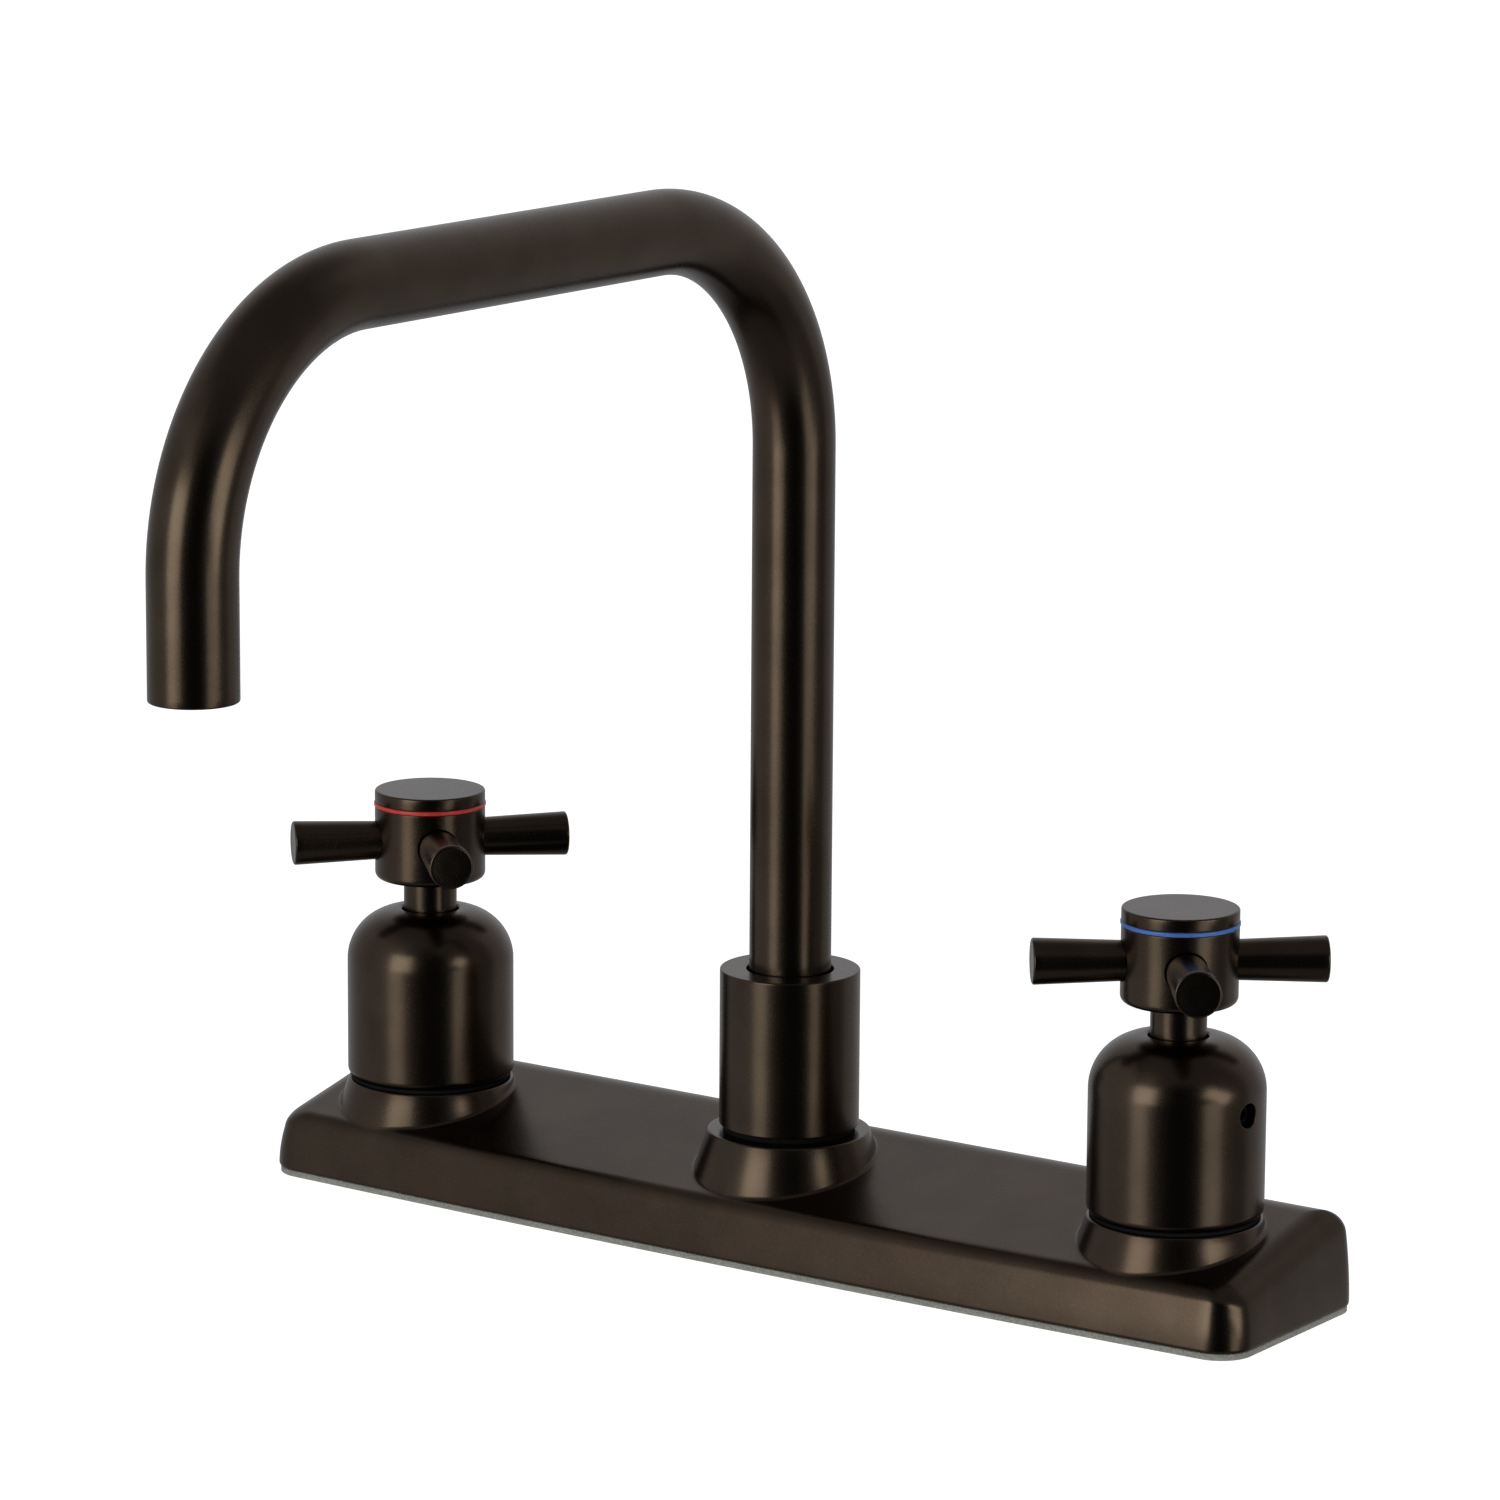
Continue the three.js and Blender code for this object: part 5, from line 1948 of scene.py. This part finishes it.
    def housing(self) -> Shell:
        """Aerator housing with a rounded lower lip.

        Returns:
            Its closed shell.
        """
        low, high = levels("aerator_housing")
        reach = -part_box("aerator_housing")[0].y - self.housing_radius
        inner = self.housing_radius - self.housing_wall
        corners = ring_section(inner, self.housing_radius, low, high)
        profile = rounded(corners, self.housing_edges, steps=5)
        return Turned(profile, sides=80).shell().moved(shift=(0, -reach, 0))

    def build(self) -> None:
        """Makes the spout's pieces."""
        self.workshop.fit(self.tube(), "spout_tube")
        self.workshop.fit(self.collar(), "spout_collar")
        self.workshop.fit(self.collar_ring(), "collar_ring")
        self.workshop.fit(self.housing(), "aerator_housing")


# ---------------------------------------------------------------- studio


@dataclass
class Softbox:
    """A large soft light.

    Attributes:
        title: its name.
        turn: degrees from the camera's direction, positive to the right of the picture.
        rise: degrees of its middle above the level of the faucet.
        width: across.
        height: up.
        distance: from the faucet.
        power: in watts.
        tilt: how far it is turned in its own plane, in degrees.
        colour: its tint.
    """

    title: str
    turn: float
    rise: float
    width: float
    height: float
    distance: float
    power: float
    tilt: float = 0.0
    colour: Colour = (1.0, 1.02, 0.97)


@dataclass
class Studio:
    """Floor, lights, world and camera of the photograph.

    The camera's azimuth, elevation, roll, place and focal length were fitted to the
    photograph on known points of the faucet. A pair in a name that ends with _edge is where
    a part of the room begins and ends to show: a height, or how far a direction leans
    along the part's middle.

    Attributes:
        azimuth, elevation, roll: the camera's angles, in degrees.
        place: the camera's place.
        image_side: the photograph's side, in pixels.
        focal_pixels: the focal length, in those pixels.
        sensor: the camera's sensor, in Blender's millimetres.
        aim: what the softboxes point at.
        floor_radius, floor_shade, floor_glow: the floor's size, colour and own light.
        softboxes: the lights.
        room_colour, room: the pale room behind and beside the faucet.
        fill: light from every direction but the camera's.
        front_colour, front_fill: the dark room behind the camera.
        backdrop, backdrop_at: the brighter backdrop, and its turn and rise in degrees.
        dark_side: middle of the dark part, in degrees from the camera's direction.
    """

    azimuth: float = 34.950
    elevation: float = 11.709
    roll: float = 0.369
    place: tuple[float, float, float] = (826.708 * MM, -1199.080 * MM, 414.608 * MM)
    image_side: float = 1500.0
    focal_pixels: float = 6693.98
    sensor: float = 36.0
    aim: tuple[float, float, float] = (0.0, 0.0, 0.09)
    floor_radius: float = 14.0
    floor_shade: float = 0.80
    floor_glow: float = 0.9
    softboxes: tuple[Softbox, ...] = (
        Softbox("left_softbox", -43, 9, 0.84, 0.95, 1.6, 5.9),
        Softbox("left_low_softbox", -50, -17, 0.60, 0.60, 1.6, 1.0),
        Softbox("right_softbox", 51, 8, 1.0, 0.5, 1.6, 3.7, tilt=-35),
        Softbox("right_low_softbox", 44, -13, 0.62, 0.55, 1.6, 1.2),
    )
    room_colour: Colour = (0.97, 1.0, 1.04)
    room: float = 0.24
    fill: float = 0.15
    front_colour: Colour = (0.4, 0.8, 1.1)
    front_fill: float = 0.010
    backdrop: float = 0.17
    backdrop_at: tuple[float, float] = (168.0, 16.0)
    dark_side: float = 30.0
    ceiling_edge: tuple[float, float] = (0.6, 0.92)
    ground_edge: tuple[float, float] = (-0.95, -0.4)
    horizon_edge: tuple[float, float] = (-0.2, 0.1)
    dark_edge: tuple[float, float] = (0.26, 0.45)
    backdrop_edge: tuple[float, float] = (0.55, 1.0)
    front_edge: tuple[float, float] = (0.70, 0.88)

    def _away(self, turn: float, rise: float) -> Vector:
        """Unit vector at an angle from the camera's direction and above the level.

        Args:
            turn: degrees from the camera's direction, positive to the right of the picture.
            rise: degrees above the level.

        Returns:
            The unit vector.
        """
        angle = math.radians(self.azimuth + turn)
        level = math.cos(math.radians(rise))
        return Vector((math.sin(angle) * level, -math.cos(angle) * level, math.sin(math.radians(rise))))

    def camera(self) -> None:
        """Camera of the photograph: its back axis from azimuth and elevation, then rolled."""
        back = self._away(0.0, self.elevation)
        right = Vector((math.cos(math.radians(self.azimuth)), math.sin(math.radians(self.azimuth)), 0.0))
        up = back.cross(right)
        roll = math.radians(self.roll)
        axes = (
            math.cos(roll) * right + math.sin(roll) * up,
            math.cos(roll) * up - math.sin(roll) * right,
            back,
        )
        data = bpy.data.cameras.new("camera")
        data.sensor_width = self.sensor
        data.lens = self.focal_pixels / self.image_side * self.sensor
        data.clip_start, data.clip_end = 0.05, 60.0
        camera = bpy.data.objects.new("camera", data)
        bpy.context.scene.collection.objects.link(camera)
        camera.matrix_world = Matrix.Translation(self.place) @ Matrix(axes).transposed().to_4x4()
        bpy.context.scene.camera = camera
        log.info("camera: lens %.1f mm", data.lens)

    def lights(self) -> None:
        """The softboxes, each turned towards the faucet."""
        aim = Vector(self.aim)
        for box in self.softboxes:
            data = bpy.data.lights.new(box.title, "AREA")
            data.shape = "RECTANGLE"
            data.size, data.size_y = box.width, box.height
            data.energy = box.power
            data.color = box.colour
            light = bpy.data.objects.new(box.title, data)
            bpy.context.scene.collection.objects.link(light)
            away = self._away(box.turn, box.rise)
            light.location = aim + away * box.distance
            light.rotation_mode = "QUATERNION"
            spin_in_plane = Quaternion((0.0, 0.0, 1.0), math.radians(box.tilt))
            light.rotation_quaternion = away.to_track_quat("Z", "Y") @ spin_in_plane
            log.info("%s: %.0f W", box.title, box.power)

    def floor(self) -> None:
        """Plain pale floor: a wide disc, lit by the softboxes and a little by itself."""
        angles = full_turn(96)
        radius = np.array([0.0, 0.3, 1.0, 3.0, self.floor_radius])
        rows = spin(np.column_stack([radius, 0 * radius]), angles)
        made = Shell()
        made.add(rows, flip=True)
        floor = bpy.data.objects.new("floor", made.mesh("floor"))
        bpy.context.scene.collection.objects.link(floor)
        material = bpy.data.materials.new("pale_floor")
        graph = Graph(material)
        place = graph.place()
        grain = graph.noise(place, 0.08, detail=3.0)
        shade = self.floor_shade
        tint = graph.blend(grain, (shade, shade, shade), (shade * 1.03, shade * 1.03, shade * 1.03))
        shader = graph.node(
            "ShaderNodeBsdfPrincipled", None,
            {"Base Color": tint, "Roughness": 0.9, "Specular IOR Level": 0.1,
             "Emission Color": (1.0, 1.0, 1.0, 1.0), "Emission Strength": self.floor_glow},
        )
        graph.finish(shader)
        floor.data.materials.append(material)
        floor.visible_glossy = False
        floor.visible_shadow = False

    def world(self) -> None:
        """The room round the faucet, and white where the camera looks past the floor.

        By direction: a dim fill everywhere but near the camera; a pale room from
        the left softbox round the back to the right, less bright towards the ceiling and the
        ground; and a brighter backdrop behind the faucet.
        """
        world = bpy.data.worlds.new("studio")
        bpy.context.scene.world = world
        graph = Graph(world)
        direction = graph.value("ShaderNodeTexCoord", output="Generated")

        def along(axis: Vector) -> Value:
            """How far the looked-at direction leans along an axis."""
            settings = {"operation": "DOT_PRODUCT"}
            return graph.value("ShaderNodeVectorMath", settings, {0: direction, 1: tuple(axis)}, "Value")

        height = along(Vector((0, 0, 1)))
        level = (1.001 - height * height) ** 0.5
        lit = 1 - graph.ramp(along(self._away(self.dark_side, 0.0)) / level, *self.dark_edge)
        middle = (1 - graph.ramp(height, *self.ceiling_edge)) * graph.ramp(height, *self.ground_edge)
        behind = graph.ramp(along(self._away(*self.backdrop_at)), *self.backdrop_edge)
        behind = behind * graph.ramp(height, *self.horizon_edge)
        front = graph.ramp(along(self._away(0.0, 0.0)), *self.front_edge)
        strength = (1 - front) * self.fill + front * self.front_fill
        strength = strength + lit * middle * self.room + behind * self.backdrop
        tint = graph.blend(front, self.room_colour, self.front_colour)
        seen = graph.value("ShaderNodeLightPath", output="Is Camera Ray")
        strength = strength * (1 - seen) + seen
        room = graph.node("ShaderNodeBackground", None, {"Color": tint, "Strength": strength})
        graph.node("ShaderNodeOutputWorld", None, {"Surface": Value(graph, room.outputs[0])})

    def build(self) -> None:
        """Sets up the whole studio."""
        bpy.context.scene.view_settings.view_transform = "Standard"
        self.camera()
        self.lights()
        self.floor()
        self.world()


# ---------------------------------------------------------------- assembly


def main() -> None:
    """Builds the faucet's sub-assemblies in order, then the studio."""
    logging.basicConfig(level=logging.INFO, format="%(message)s")
    workshop = Workshop()
    DeckPlate(workshop).build()
    for side, first_bar in FIRST_BAR.items():
        Valve(workshop, side).build()
        Handle(workshop, side, first_bar).build()
    Spout(workshop).build()
    workshop.dress_the_rest()
    Studio().build()


if __name__ == "__main__":
    main()
